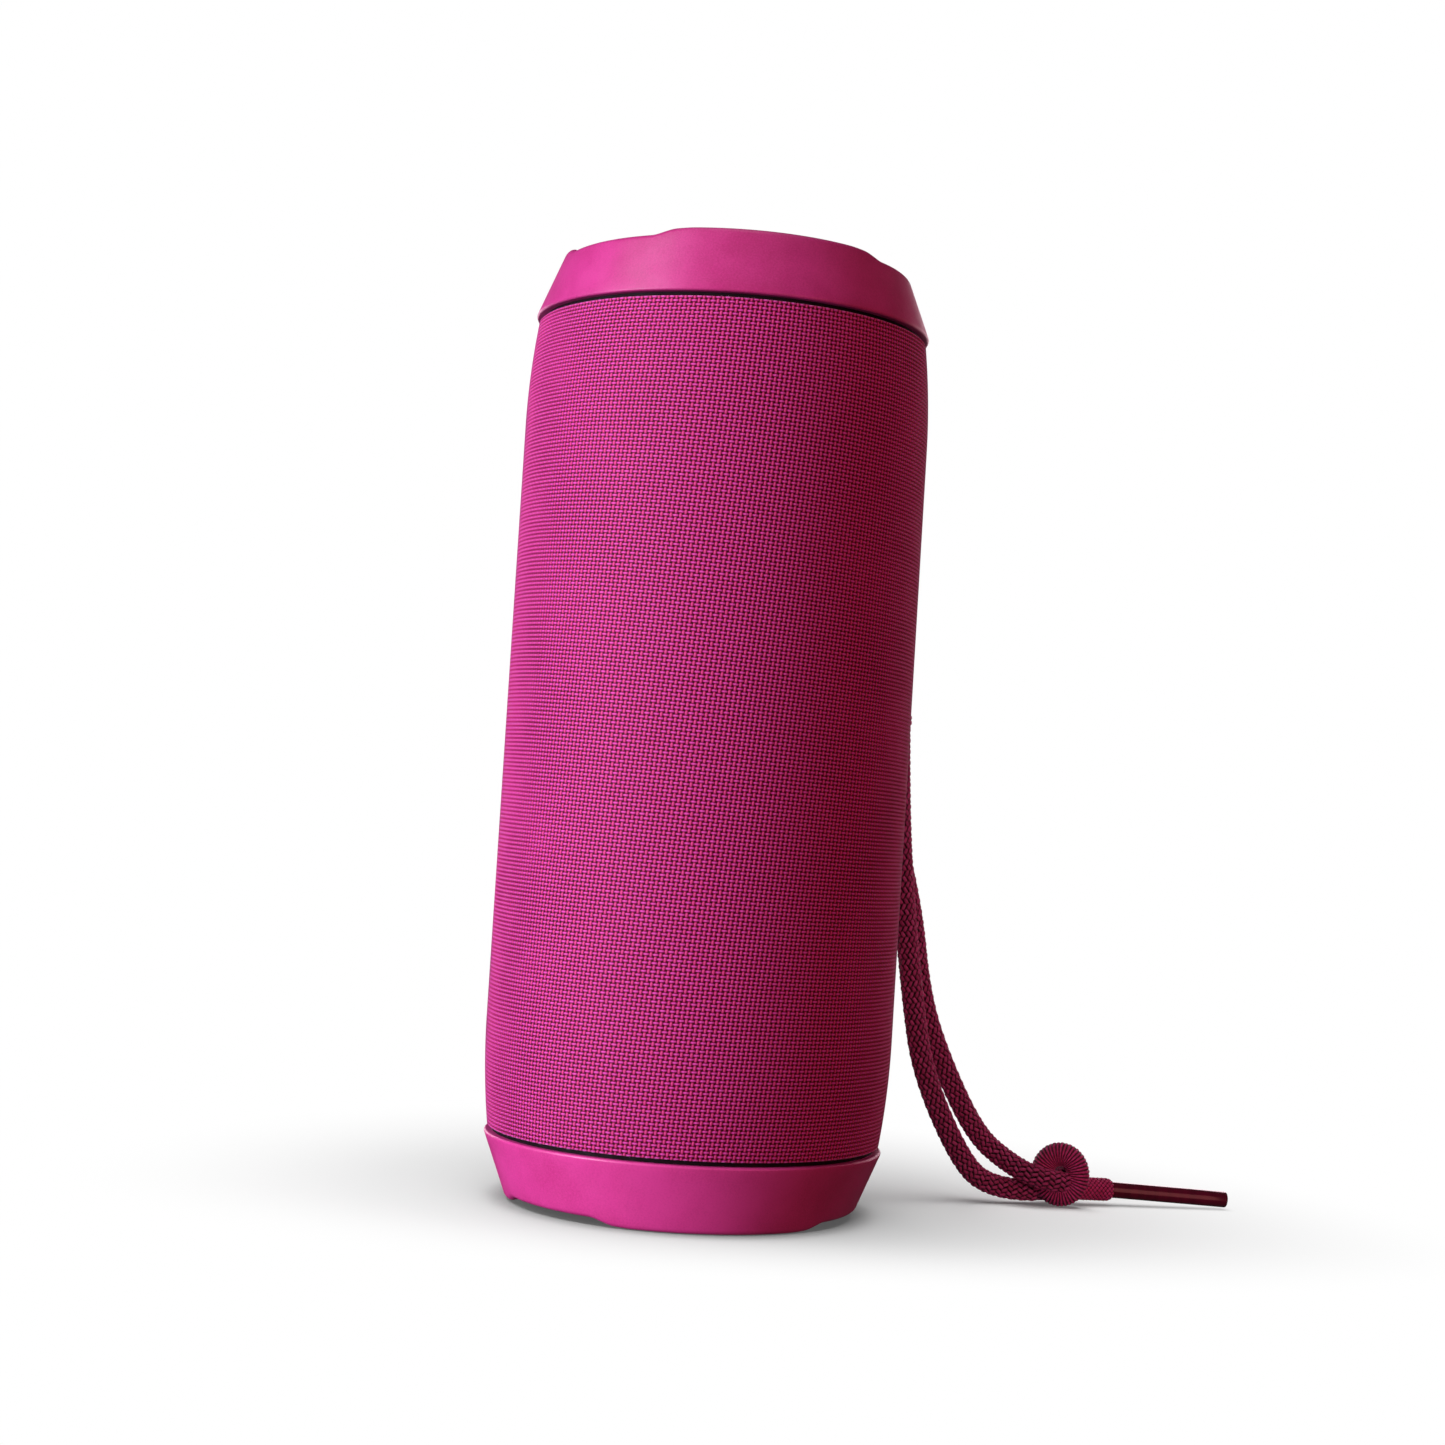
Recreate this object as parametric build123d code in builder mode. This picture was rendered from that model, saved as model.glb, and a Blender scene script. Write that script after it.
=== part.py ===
from build123d import *

import os
from math import cos, pi, radians, sin, sqrt, tan

# Portable upright speaker: a fabric-covered tube between two moulded end caps.
# Millimetres. Origin at the centre of the base, +Z up, -Y the driver side, +Y the control side.

os.makedirs("parts", exist_ok=True)

# Overall sizes
HEIGHT = 180.0
RIM_R = 38.0
END_R = 33.0
CAP_H = 12.7
CAP_BORE_R = 27.2
CAP_SEAT_H = 5.8

# Raised feet of the end caps: three lobes with shallow notches between them
LOBES = 3
FIRST_NOTCH_ANGLE = 50.0
NOTCH_DEPTH = 1.3
NOTCH_RAMP_END = 14.6
NOTCH_SLOPE = 3.0

# Dark seal between each cap and the fabric
SEAL_T = 1.0
SEAL_R = 36.4

# Fabric sleeve and the grille sleeve under it
FABRIC_R = 38.7
FABRIC_END_R = 37.3
FABRIC_T = 1.0
FABRIC_BLEND_H = 20.3
SLEEVE_LOW = CAP_H + SEAL_T
SLEEVE_SLOT = 12.15

# Inner tube
TUBE_R = 34.3
TUBE_BORE_R = 31.8
TUBE_LOW = 6.0

# Control strip on the +Y side
STRIP_R = 37.9
STRIP_W = 24.0
STRIP_LOW = 14.2
BOSS_W = 19.0
BOSS_Y = 28.3
BUTTON_BACK_Y = 34.4
STRIP_SCREW_HEIGHTS = [24.0, 72.0]

# Strap pocket in the strip
POCKET_W = 15.0
POCKET_LOW = 87.0
POCKET_HIGH = 100.5
POCKET_Y = 30.0
STRAP_BAR_R = 1.0
STRAP_BAR_Y = 35.2
STRAP_BAR_Z = 96.0
STRAP_BAR_HALF = 9.3

# Port recess, its cover and the cover's hinge
RECESS_W = 16.0
RECESS_LOW = 104.5
RECESS_HIGH = 120.2
RECESS_Y = 31.0
COVER_W = 18.0
COVER_LOW = 102.7
COVER_HIGH = 121.0
COVER_Y = 36.15
COVER_GAP = 0.3
HINGE_Y = 36.8
HINGE_Z = 122.2
HINGE_PIN_R = 0.5
KNUCKLE_R = 0.95
KNUCKLE_W = 8.0
LUG_W = 2.0
CHARGE_Z = 109.2
JACK_Z = 115.5
JACK_R = 2.9

# Buttons: name, x, z, radius, engraved sign
BUTTONS = [
    ("power_button", -5.5, 156.0, 3.7, "ring_and_bar"),
    ("pairing_button", 5.5, 156.0, 3.7, "ring"),
    ("volume_down_button", -7.0, 134.0, 3.0, "minus"),
    ("play_button", 0.0, 134.0, 3.0, "triangle"),
    ("volume_up_button", 7.0, 134.0, 3.0, "plus"),
]
BUTTON_PROUD = 0.3
BUTTON_GAP = 0.1
BUTTON_STEM_Y = 31.1

# Row of charge lights
LIGHT_Z = 145.0
LIGHT_PITCH = 3.0
LIGHTS = 5
LIGHT_R = 0.8
LIGHT_X = [(number - (LIGHTS - 1) / 2) * LIGHT_PITCH for number in range(LIGHTS)]

# Drivers behind the baffle, facing -Y
DRIVER_HEIGHTS = {"upper": 122.0, "lower": 58.0}
BAFFLE_Y = 23.5
BAFFLE_T = 2.0
DRIVER_HOLE_R = 17.6
DRIVER_R = 20.0
DRIVER_SCREW_R = 18.75

# Passive radiators in the ends
RADIATOR_SCREW_R = 29.4
RADIATOR_SCREWS = 4
BOSS_RING_R = 29.7

# Power and electronics
CELL_R = 9.2
CELL_L = 65.0
CELL_X = 9.6
CELL_Y = 9.5
CELL_LOW = 57.0
BOARD_Y = 22.0
BOARD_T = 1.6
BOARD_POST_X = [-16.0, 16.0]
BOARD_POST_Z = [64.0, 150.0]

# Strap
STRAND_D = 4.8
STRAND_A = [
    (2.5, 39.9, 93.5),
    (2.4, 40.8, 79.0),
    (2.2, 43.2, 60.0),
    (2.3, 46.3, 41.0),
    (1.7, 50.2, 25.8),
    (-0.1, 59.9, 8.1),
    (0.8, 68.6, 2.7),
    (3.0, 77.9, 3.0),
]
STRAND_B = [
    (-2.5, 39.9, 93.5),
    (-2.6, 40.9, 78.0),
    (-2.5, 46.0, 59.0),
    (-2.4, 51.0, 40.0),
    (-3.4, 57.7, 26.8),
    (-4.1, 66.4, 13.0),
    (-2.2, 72.6, 7.4),
    (2.4, 81.0, 4.9),
]
KNOT_CENTRE = (4.5, 81.5, 6.5)
KNOT_AXIS = (0.924, -0.383, 0.0)
KNOT_R = 6.3
KNOT_T = 8.4
COLLAR_FROM = (4.4, 87.4, 2.8)
COLLAR_TO = (5.2, 92.8, 2.75)
ROD_TO = (10.7, 117.2, 1.75)
COLLAR_R = 2.6
ROD_R = 1.55


def level(height, end):
    """Height above the base of a point that is `height` in from one end of the body."""
    return height if end == "bottom" else HEIGHT - height


def behind(distance):
    """Upright plane at +Y, parallel to XZ. A negative extrusion goes outwards from it."""
    return Plane.XZ.offset(-distance)


def surface_y(radius, x):
    """Depth in Y of a cylinder's surface at a given x."""
    return sqrt(radius**2 - x**2)


def save(piece, name):
    """Label a finished piece and write it."""
    piece.part.label = name
    export_step(piece.part, f"parts/{name}.step")


def outline(corners):
    """Face inside a closed line through (x, y, rounding) corners."""
    with BuildLine() as line:
        FilletPolyline([c[:2] for c in corners], radius=[c[2] for c in corners], close=True)
    make_face(line.edges())


def block(x, y, z, mode=Mode.ADD):
    """Box between pairs of limits along each axis."""
    centre = [(side[0] + side[1]) / 2 for side in (x, y, z)]
    with Locations(tuple(centre)):
        Box(x[1] - x[0], y[1] - y[0], z[1] - z[0], mode=mode)


def turned(end, corners, screw_holes=()):
    """Ring or disc about Z from (radius, height in from the end, rounding) corners.

    Each screw hole is (height of its middle, radius, half its depth).
    """
    with BuildPart() as piece:
        with BuildSketch(Plane.XZ):
            outline([(c[0], level(c[1], end), c[2]) for c in corners])
        revolve(axis=Axis.Z)
        for height, radius, half_depth in screw_holes:
            with BuildSketch(Plane.XY.offset(level(height, end))):
                with PolarLocations(RADIATOR_SCREW_R, RADIATOR_SCREWS, start_angle=45):
                    Circle(radius)
            extrude(amount=half_depth, both=True, mode=Mode.SUBTRACT)
    return piece


def spun(height, corners, screw_holes=False):
    """Ring or disc about a driver's axis from (radius, y, rounding) corners."""
    with BuildPart() as piece:
        with BuildSketch(Plane.XY.offset(height)):
            outline(corners)
        revolve(axis=Axis((0, 0, height), (0, 1, 0)))
        if screw_holes:
            with BuildSketch(Plane.XZ.offset(BAFFLE_Y)):
                with Locations((0, height)):
                    with PolarLocations(DRIVER_SCREW_R, 4, start_angle=45):
                        Circle(0.85)
            extrude(amount=-3, mode=Mode.SUBTRACT)
    return piece


def end_cap(end):
    """Conical end ring. Its end face stands on three lobes."""
    inward = 1 if end == "bottom" else -1
    rim = [
        (RIM_R, CAP_H, 0.4),
        (TUBE_R + 0.1, CAP_H, 0),
        (TUBE_R + 0.1, CAP_SEAT_H, 0),
        (CAP_BORE_R, CAP_SEAT_H, 0),
    ]
    flank = (RIM_R - END_R) / CAP_H
    ramp_foot = NOTCH_RAMP_END - 3.8 * NOTCH_SLOPE
    notch = [(ramp_foot, 4.0, 0), (NOTCH_RAMP_END, 0.2, 8.0), (22.0, -0.3, 0), (22.0, -3.0, 0)]
    notch_corners = notch + [(-x, y, r) for x, y, r in reversed(notch)]
    seam = radians(FIRST_NOTCH_ANGLE)
    section = Plane((0, 0, 0), x_dir=(cos(seam), sin(seam), 0), z_dir=(sin(seam), -cos(seam), 0))
    with BuildPart() as cap:
        with BuildSketch(section):
            lobe_section = [(CAP_BORE_R, 0.0, 1.0), (END_R, 0.0, 1.5)] + rim
            outline([(c[0], level(c[1], end), c[2]) for c in lobe_section])
        revolve(axis=Axis.Z)
        for number in range(LOBES):
            angle = radians(FIRST_NOTCH_ANGLE + number * 360 / LOBES)
            outward = (cos(angle), sin(angle), 0)
            along = (-sin(angle), cos(angle), 0)
            with BuildSketch(Plane((0, 0, level(0, end)), x_dir=along, z_dir=outward)):
                outline([(x, inward * y, r) for x, y, r in notch_corners])
            extrude(amount=RIM_R + 5, mode=Mode.SUBTRACT)
        with BuildSketch(section):
            notch_r = END_R + flank * NOTCH_DEPTH
            notch_section = [(CAP_BORE_R, NOTCH_DEPTH, 1.0), (notch_r, NOTCH_DEPTH, 1.5)] + rim
            outline([(c[0], level(c[1], end), c[2]) for c in notch_section])
        revolve(axis=Axis.Z)
    return cap


def curved_side(radius, end_radius, end):
    """Arc that draws a sleeve in towards one end."""
    away = -1 if end == "bottom" else 1
    start = (radius, level(SLEEVE_LOW + FABRIC_BLEND_H, end))
    TangentArc(start, (end_radius, level(SLEEVE_LOW, end)), tangent=(0, away))


def fabric_tube():
    """Skin of even thickness with a slot for the control strip."""
    low = SLEEVE_LOW + FABRIC_BLEND_H
    high = HEIGHT - low
    inner = FABRIC_R - FABRIC_T
    inner_end = FABRIC_END_R - FABRIC_T
    with BuildPart() as sleeve:
        with BuildSketch(Plane.XZ):
            with BuildLine():
                Line((FABRIC_R, low), (FABRIC_R, high))
                Line((inner, low), (inner, high))
                for end in ("bottom", "top"):
                    curved_side(FABRIC_R, FABRIC_END_R, end)
                    curved_side(inner, inner_end, end)
                    edge = level(SLEEVE_LOW, end)
                    Line((FABRIC_END_R, edge), (inner_end, edge))
            make_face()
        revolve(axis=Axis.Z)
        block((-SLEEVE_SLOT, SLEEVE_SLOT), (20, 50), (0, HEIGHT), Mode.SUBTRACT)
    return sleeve


def grille_tube():
    """Stiff slotted sleeve that backs the fabric."""
    low = SLEEVE_LOW + FABRIC_BLEND_H
    high = HEIGHT - low
    outer = FABRIC_R - FABRIC_T
    outer_end = FABRIC_END_R - FABRIC_T
    slot_pitch = 4.0
    slots = 9
    with BuildPart() as sleeve:
        with BuildSketch(Plane.XZ):
            with BuildLine():
                Line((outer, low), (outer, high))
                for end in ("bottom", "top"):
                    curved_side(outer, outer_end, end)
                    edge = level(SLEEVE_LOW, end)
                    Line((outer_end, edge), (TUBE_R, edge))
                Line((TUBE_R, SLEEVE_LOW), (TUBE_R, HEIGHT - SLEEVE_LOW))
            make_face()
        revolve(axis=Axis.Z)
        block((-SLEEVE_SLOT, SLEEVE_SLOT), (20, 50), (0, HEIGHT), Mode.SUBTRACT)
        for height in DRIVER_HEIGHTS.values():
            with BuildSketch(Plane.XZ.offset(20)):
                for number in range(slots):
                    rise = (number - (slots - 1) / 2) * slot_pitch
                    half = sqrt(DRIVER_HOLE_R**2 - rise**2)
                    with Locations((0, height + rise)):
                        SlotOverall(2 * half, 2.2)
            extrude(amount=30, mode=Mode.SUBTRACT)
    return sleeve


def chassis_half(side):
    """Half of the sealed inner tube. The front half holds the baffle."""
    front = side == "front"
    boss_angles = [225, 315] if front else [45, 135]
    with BuildPart() as half:
        with BuildSketch(Plane.XY.offset(TUBE_LOW)):
            Circle(TUBE_R)
            Circle(TUBE_BORE_R, mode=Mode.SUBTRACT)
        extrude(amount=HEIGHT - 2 * TUBE_LOW)
        if front:
            baffle = (-BAFFLE_Y - BAFFLE_T, -BAFFLE_Y)
            block((-22, 22), baffle, (32, HEIGHT - 32))
        for angle in boss_angles:
            x = cos(radians(angle))
            y = sin(radians(angle))
            for low in (8.6, HEIGHT - 18.6):
                with BuildSketch(Plane.XY.offset(low)):
                    with Locations((BOSS_RING_R * x, BOSS_RING_R * y)):
                        Circle(2.4)
                    with Locations((RADIATOR_SCREW_R * x, RADIATOR_SCREW_R * y)):
                        Circle(0.9, mode=Mode.SUBTRACT)
                extrude(amount=10)
        if front:
            for height in DRIVER_HEIGHTS.values():
                with BuildSketch(Plane.XZ.offset(20)):
                    with Locations((0, height)):
                        Circle(DRIVER_HOLE_R)
                extrude(amount=20, mode=Mode.SUBTRACT)
                with BuildSketch(Plane.XZ.offset(20)):
                    with Locations((0, height)):
                        with PolarLocations(DRIVER_SCREW_R, 4, start_angle=45):
                            Circle(0.7)
                extrude(amount=BAFFLE_Y + BAFFLE_T - 20, mode=Mode.SUBTRACT)
        else:
            block((-11, 11), (20, 40), (86, 163), Mode.SUBTRACT)
            for height in STRIP_SCREW_HEIGHTS:
                with BuildSketch(behind(25)):
                    with Locations((0, height)):
                        Circle(1.05)
                extrude(amount=-12, mode=Mode.SUBTRACT)
            for x in BOARD_POST_X:
                for z in BOARD_POST_Z:
                    with BuildSketch(behind(BOARD_Y + BOARD_T)):
                        with Locations((x, z)):
                            Circle(2.0)
                            Circle(0.8, mode=Mode.SUBTRACT)
                    extrude(amount=-5.6)
        split(bisect_by=Plane.XZ, keep=Keep.TOP if front else Keep.BOTTOM)
    return half


def control_strip_part():
    """Moulded strip with its strap pocket, port recess, button holes and hinge lugs."""
    opening = (-COVER_W / 2 - COVER_GAP, COVER_W / 2 + COVER_GAP)
    flat = COVER_Y - 0.1
    boss = (-BOSS_W / 2, BOSS_W / 2)
    lug_from = KNUCKLE_W / 2 + 0.2
    with BuildPart() as strip:
        with BuildSketch(Plane.XY.offset(STRIP_LOW)):
            Circle(STRIP_R)
            Circle(TUBE_R, mode=Mode.SUBTRACT)
            with Locations((0, STRIP_R)):
                Rectangle(STRIP_W, 2 * (STRIP_R - 25), mode=Mode.INTERSECT)
        extrude(amount=HEIGHT - 2 * STRIP_LOW)
        outer_edges = strip.edges().filter_by(Axis.Z).group_by(Axis.Y)[-1]
        fillet(outer_edges, radius=0.9)
        block(boss, (BOSS_Y, 34.9), (86.5, 124.5))
        block((-10.8, 10.8), (30, BUTTON_BACK_Y), (127, 162.6), Mode.SUBTRACT)
        pocket = (-POCKET_W / 2, POCKET_W / 2)
        block(pocket, (POCKET_Y, 45), (POCKET_LOW, POCKET_HIGH), Mode.SUBTRACT)
        with BuildSketch(Plane.YZ.offset(pocket[0])):
            with BuildLine():
                lip = [(35.2, POCKET_LOW + 0.1), (STRIP_R + 1, POCKET_LOW + 0.1), (STRIP_R + 1, POCKET_LOW - 4)]
                Polyline(lip, close=True)
            make_face()
        extrude(amount=POCKET_W, mode=Mode.SUBTRACT)
        recess = (-RECESS_W / 2, RECESS_W / 2)
        block(recess, (RECESS_Y, 45), (RECESS_LOW, RECESS_HIGH), Mode.SUBTRACT)
        block(opening, (flat, 45), (COVER_LOW - COVER_GAP, HINGE_Z + 1.7), Mode.SUBTRACT)
        block((-lug_from, lug_from), (35.5, flat), (120, HINGE_Z + 1.3), Mode.SUBTRACT)
        for x in (-lug_from - LUG_W, lug_from):
            block((x, x + LUG_W), (35, 37.35), (COVER_HIGH + 0.2, HINGE_Z + 2))
        with BuildSketch(Plane.YZ.offset(-STRIP_W)):
            with Locations((HINGE_Y, HINGE_Z)):
                Circle(HINGE_PIN_R)
        extrude(amount=STRIP_W - lug_from + 2 * lug_from + LUG_W, mode=Mode.SUBTRACT)
        with BuildSketch(Plane.YZ.offset(-STRAP_BAR_HALF)):
            with Locations((STRAP_BAR_Y, STRAP_BAR_Z)):
                Circle(STRAP_BAR_R)
        extrude(amount=2 * STRAP_BAR_HALF, mode=Mode.SUBTRACT)
        with BuildSketch(behind(BOSS_Y - 1)):
            with Locations((0, CHARGE_Z)):
                SlotOverall(9.2, 3.4)
            with Locations((0, JACK_Z)):
                Circle(JACK_R)
        extrude(amount=-(RECESS_Y - BOSS_Y + 2), mode=Mode.SUBTRACT)
        with BuildSketch(behind(30)):
            for _, x, z, radius, _ in BUTTONS:
                with Locations((x, z)):
                    Circle(radius + BUTTON_GAP)
            for x in LIGHT_X:
                with Locations((x, LIGHT_Z)):
                    Circle(LIGHT_R)
        extrude(amount=-10, mode=Mode.SUBTRACT)
        with BuildSketch(behind(33)):
            for height in STRIP_SCREW_HEIGHTS:
                with Locations((0, height)):
                    Circle(0.9)
        extrude(amount=-3.2, mode=Mode.SUBTRACT)
    return strip


def port_cover_part():
    """Flap flush with the strip, hung on a knuckle at its top edge."""
    half = COVER_W / 2
    knuckle = (-KNUCKLE_W / 2, KNUCKLE_W / 2)
    with BuildPart() as cover:
        with BuildSketch(Plane.XY.offset(COVER_LOW)):
            Circle(STRIP_R)
            with Locations((0, COVER_Y + 5)):
                Rectangle(2 * half, 10, mode=Mode.INTERSECT)
        extrude(amount=COVER_HIGH - COVER_LOW)
        block(knuckle, (COVER_Y, 37.5), (COVER_HIGH - 0.5, HINGE_Z))
        with BuildSketch(Plane.YZ.offset(-KNUCKLE_W / 2)):
            with Locations((HINGE_Y, HINGE_Z)):
                Circle(KNUCKLE_R)
        extrude(amount=KNUCKLE_W)
        with BuildSketch(Plane.YZ.offset(-KNUCKLE_W)):
            with Locations((HINGE_Y, HINGE_Z)):
                Circle(HINGE_PIN_R + 0.05)
        extrude(amount=2 * KNUCKLE_W, mode=Mode.SUBTRACT)
    return cover


def button_part(x, z, radius, sign):
    """Round button with a retaining flange, a stem and an engraved sign."""
    top = STRIP_R + BUTTON_PROUD
    sign_y = surface_y(top, abs(x) + 1) - 0.35
    with BuildPart() as button:
        with BuildSketch(behind(BUTTON_BACK_Y - 0.2)):
            with Locations((x, z)):
                Circle(radius)
        extrude(amount=-8)
        with BuildSketch(Plane.XY):
            Circle(top)
        extrude(amount=HEIGHT, mode=Mode.INTERSECT)
        fillet(button.faces().sort_by(Axis.Y)[-1].edges(), radius=0.25)
        with BuildSketch(behind(BUTTON_BACK_Y - 1.2)):
            with Locations((x, z)):
                Circle(radius + 0.35)
        extrude(amount=-1)
        with BuildSketch(behind(BUTTON_STEM_Y)):
            with Locations((x, z)):
                Circle(1.3)
        extrude(amount=-(BUTTON_BACK_Y - 1.2 - BUTTON_STEM_Y))
        with BuildSketch(behind(sign_y)):
            with Locations((x, z)):
                if sign == "ring":
                    Circle(1.7)
                    Circle(1.2, mode=Mode.SUBTRACT)
                if sign == "ring_and_bar":
                    Circle(1.8)
                    Circle(1.3, mode=Mode.SUBTRACT)
                    with Locations((0, 1.5)):
                        Rectangle(1.6, 1.2, mode=Mode.SUBTRACT)
                    with Locations((0, 1.4)):
                        Rectangle(0.5, 1.8)
                if sign in ("plus", "minus"):
                    Rectangle(3.0, 0.6)
                if sign == "plus":
                    Rectangle(0.6, 3.0)
                if sign == "triangle":
                    RegularPolygon(1.6, 3)
        extrude(amount=-2, mode=Mode.SUBTRACT)
    return button


def screws(places, along, head_r, head_h, shaft_r, length):
    """Group of screws. Each place is the centre of a head's outer face."""
    with BuildPart() as group:
        for place in places:
            with BuildSketch(Plane(place, z_dir=along)):
                Circle(head_r)
                with Locations((0, 0)):
                    RegularPolygon(head_r * 0.45, 6, mode=Mode.SUBTRACT)
            extrude(amount=head_h * 0.6)
            with BuildSketch(Plane(place, z_dir=along).offset(head_h * 0.6)):
                Circle(head_r)
            extrude(amount=head_h * 0.4)
            with BuildSketch(Plane(place, z_dir=along).offset(head_h)):
                Circle(shaft_r)
            extrude(amount=length)
    return group


def rod_between(start, finish, radius):
    """Round bar from one point to another."""
    reach = Vector(finish) - Vector(start)
    with BuildPart() as rod:
        with BuildSketch(Plane(start, z_dir=reach)):
            Circle(radius)
        extrude(amount=reach.length)
    return rod


def bend_radii(points):
    """Largest tangent arc that fits each corner of a route."""
    radii = []
    for before, corner, after in zip(points, points[1:], points[2:]):
        first = Vector(corner) - Vector(before)
        second = Vector(after) - Vector(corner)
        half_turn = radians(first.get_angle(second)) / 2
        radii.append(0.45 * min(first.length, second.length) / tan(half_turn))
    return radii


def strand(name, points):
    """Round cord along a route of straight runs and tangent arcs."""
    radii = bend_radii(points)
    first_run = Vector(points[1]) - Vector(points[0])
    with BuildPart() as cord:
        with BuildLine() as route:
            FilletPolyline(points, radius=radii)
        with BuildSketch(Plane(points[0], z_dir=first_run)):
            Circle(STRAND_D / 2)
        sweep(path=route.wire())
    length = route.wire().length
    section = pi * STRAND_D**2 / 4
    print(name, "radii", [round(r, 1) for r in radii], "length", round(length, 1))
    print(name, "volume", round(cord.part.volume, 1), "section x length", round(section * length, 1))
    return cord


# End caps and the seals that part them from the fabric
for end in ("top", "bottom"):
    save(end_cap(end), f"{end}_cap")
    seal = [(TUBE_R + 0.1, CAP_H, 0), (SEAL_R, CAP_H, 0), (SEAL_R, SLEEVE_LOW, 0)]
    save(turned(end, seal + [(TUBE_R + 0.1, SLEEVE_LOW, 0)]), f"{end}_cap_seal")

# Tube, grille and fabric
save(fabric_tube(), "fabric_sleeve")
save(grille_tube(), "grille_sleeve")
save(chassis_half("front"), "chassis_front")
save(chassis_half("rear"), "chassis_rear")

# Passive radiators: frame, rolled surround, moving plate and its weight
for end in ("top", "bottom"):
    frame_section = [
        (25.4, 6.8, 0),
        (27.4, 6.8, 0),
        (27.4, 6.0, 0),
        (31.7, 6.0, 0),
        (31.7, 8.6, 0),
        (25.4, 8.6, 0),
    ]
    frame_holes = [(8.0, 1.0, 3.0), (6.6, 1.9, 0.6)]
    save(turned(end, frame_section, frame_holes), f"{end}_radiator_frame")
    save(turned(end, [
        (27.3, 6.8, 0),
        (27.3, 6.0, 0.2),
        (25.5, 6.0, 0.4),
        (25.3, 3.5, 1.7),
        (21.3, 3.5, 1.7),
        (21.1, 6.0, 0.4),
        (19.4, 6.0, 0.2),
        (19.4, 6.6, 0),
        (21.8, 6.6, 0.3),
        (21.9, 4.2, 0.9),
        (24.7, 4.2, 0.9),
        (24.8, 6.8, 0.3),
    ]), f"{end}_radiator_surround")
    save(turned(end, [
        (0, 5.0, 0),
        (5.5, 5.0, 0.4),
        (6.6, 5.8, 0.4),
        (15.0, 5.8, 0.4),
        (16.2, 4.9, 0.4),
        (18.2, 4.9, 0.5),
        (18.8, 6.9, 0.3),
        (20.8, 6.9, 0),
        (20.8, 8.5, 0),
        (0, 8.5, 0),
    ]), f"{end}_radiator_plate")
    save(turned(end, [(0, 8.5, 0), (9, 8.5, 0), (9, 11, 0.4), (0, 11, 0)]), f"{end}_radiator_weight")
    places = []
    for number in range(RADIATOR_SCREWS):
        turn = radians(45 + number * 360 / RADIATOR_SCREWS)
        x = RADIATOR_SCREW_R * cos(turn)
        y = RADIATOR_SCREW_R * sin(turn)
        places.append((x, y, level(6.0, end)))
    inward = (0, 0, 1) if end == "bottom" else (0, 0, -1)
    save(screws(places, inward, 1.8, 1.2, 0.9, 7.5), f"{end}_radiator_screws")

# Drivers
driver_screw_places = []
for name, height in DRIVER_HEIGHTS.items():
    front = -BAFFLE_Y
    gasket = [(DRIVER_HOLE_R, front, 0), (DRIVER_R, front, 0), (DRIVER_R, front + 0.5, 0)]
    gasket.append((DRIVER_HOLE_R, front + 0.5, 0))
    save(spun(height, gasket, screw_holes=True), f"{name}_driver_gasket")
    flange = front + 0.5
    basket = [
        (16.6, flange, 0),
        (DRIVER_R, flange, 0),
        (DRIVER_R, flange + 1.4, 0),
        (17.8, flange + 1.4, 0),
        (12.2, -9.0, 0),
        (6.6, -9.0, 0),
        (6.6, -10.2, 0),
        (11.4, -10.2, 0),
        (16.6, flange + 1.2, 0),
    ]
    save(spun(height, basket, screw_holes=True), f"{name}_driver_basket")
    save(spun(height, [
        (0, -1.5, 0),
        (11.5, -1.5, 0.5),
        (11.5, -9.0, 0),
        (6.4, -9.0, 0),
        (6.4, -3.2, 0),
        (4.8, -3.2, 0),
        (4.8, -9.6, 0.3),
        (0, -9.6, 0),
    ]), f"{name}_driver_magnet")
    coil = [(5.2, -14.0, 0), (6.0, -14.0, 0), (6.0, -4.6, 0), (5.2, -4.6, 0)]
    save(spun(height, coil), f"{name}_voice_coil")
    save(spun(height, [
        (0, -16.4, 0),
        (5.4, -15.0, 0.3),
        (6.1, -15.3, 0.2),
        (13.6, -21.6, 0),
        (13.6, -20.8, 0),
        (6.4, -14.2, 0.2),
        (5.2, -14.0, 0.2),
        (0, -15.6, 0),
    ]), f"{name}_driver_cone")
    save(spun(height, [
        (17.5, flange, 0),
        (17.5, flange - 0.5, 0.1),
        (16.5, flange - 0.6, 0.2),
        (16.2, flange - 2.2, 0.9),
        (14.2, flange - 2.2, 0.9),
        (13.9, -21.2, 0),
        (14.5, -21.2, 0.1),
        (14.8, flange - 1.6, 0.4),
        (15.7, flange - 1.6, 0.4),
        (16.1, flange, 0.1),
    ]), f"{name}_driver_surround")
    for number in range(4):
        turn = radians(45 + number * 90)
        x = DRIVER_SCREW_R * cos(turn)
        z = height + DRIVER_SCREW_R * sin(turn)
        driver_screw_places.append((x, flange + 1.4 + 0.9, z))
save(screws(driver_screw_places, (0, -1, 0), 0.9, 0.9, 0.7, 3.6), "driver_screws")

# Battery and its cradle
with BuildPart() as battery_cells:
    with BuildSketch(Plane.XY.offset(CELL_LOW)):
        with Locations((-CELL_X, CELL_Y), (CELL_X, CELL_Y)):
            Circle(CELL_R)
    extrude(amount=CELL_L)
    top_edges = battery_cells.edges().group_by(Axis.Z)[-1]
    bottom_edges = battery_cells.edges().group_by(Axis.Z)[0]
    fillet(top_edges + bottom_edges, radius=0.8)
save(battery_cells, "battery_cells")

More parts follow.
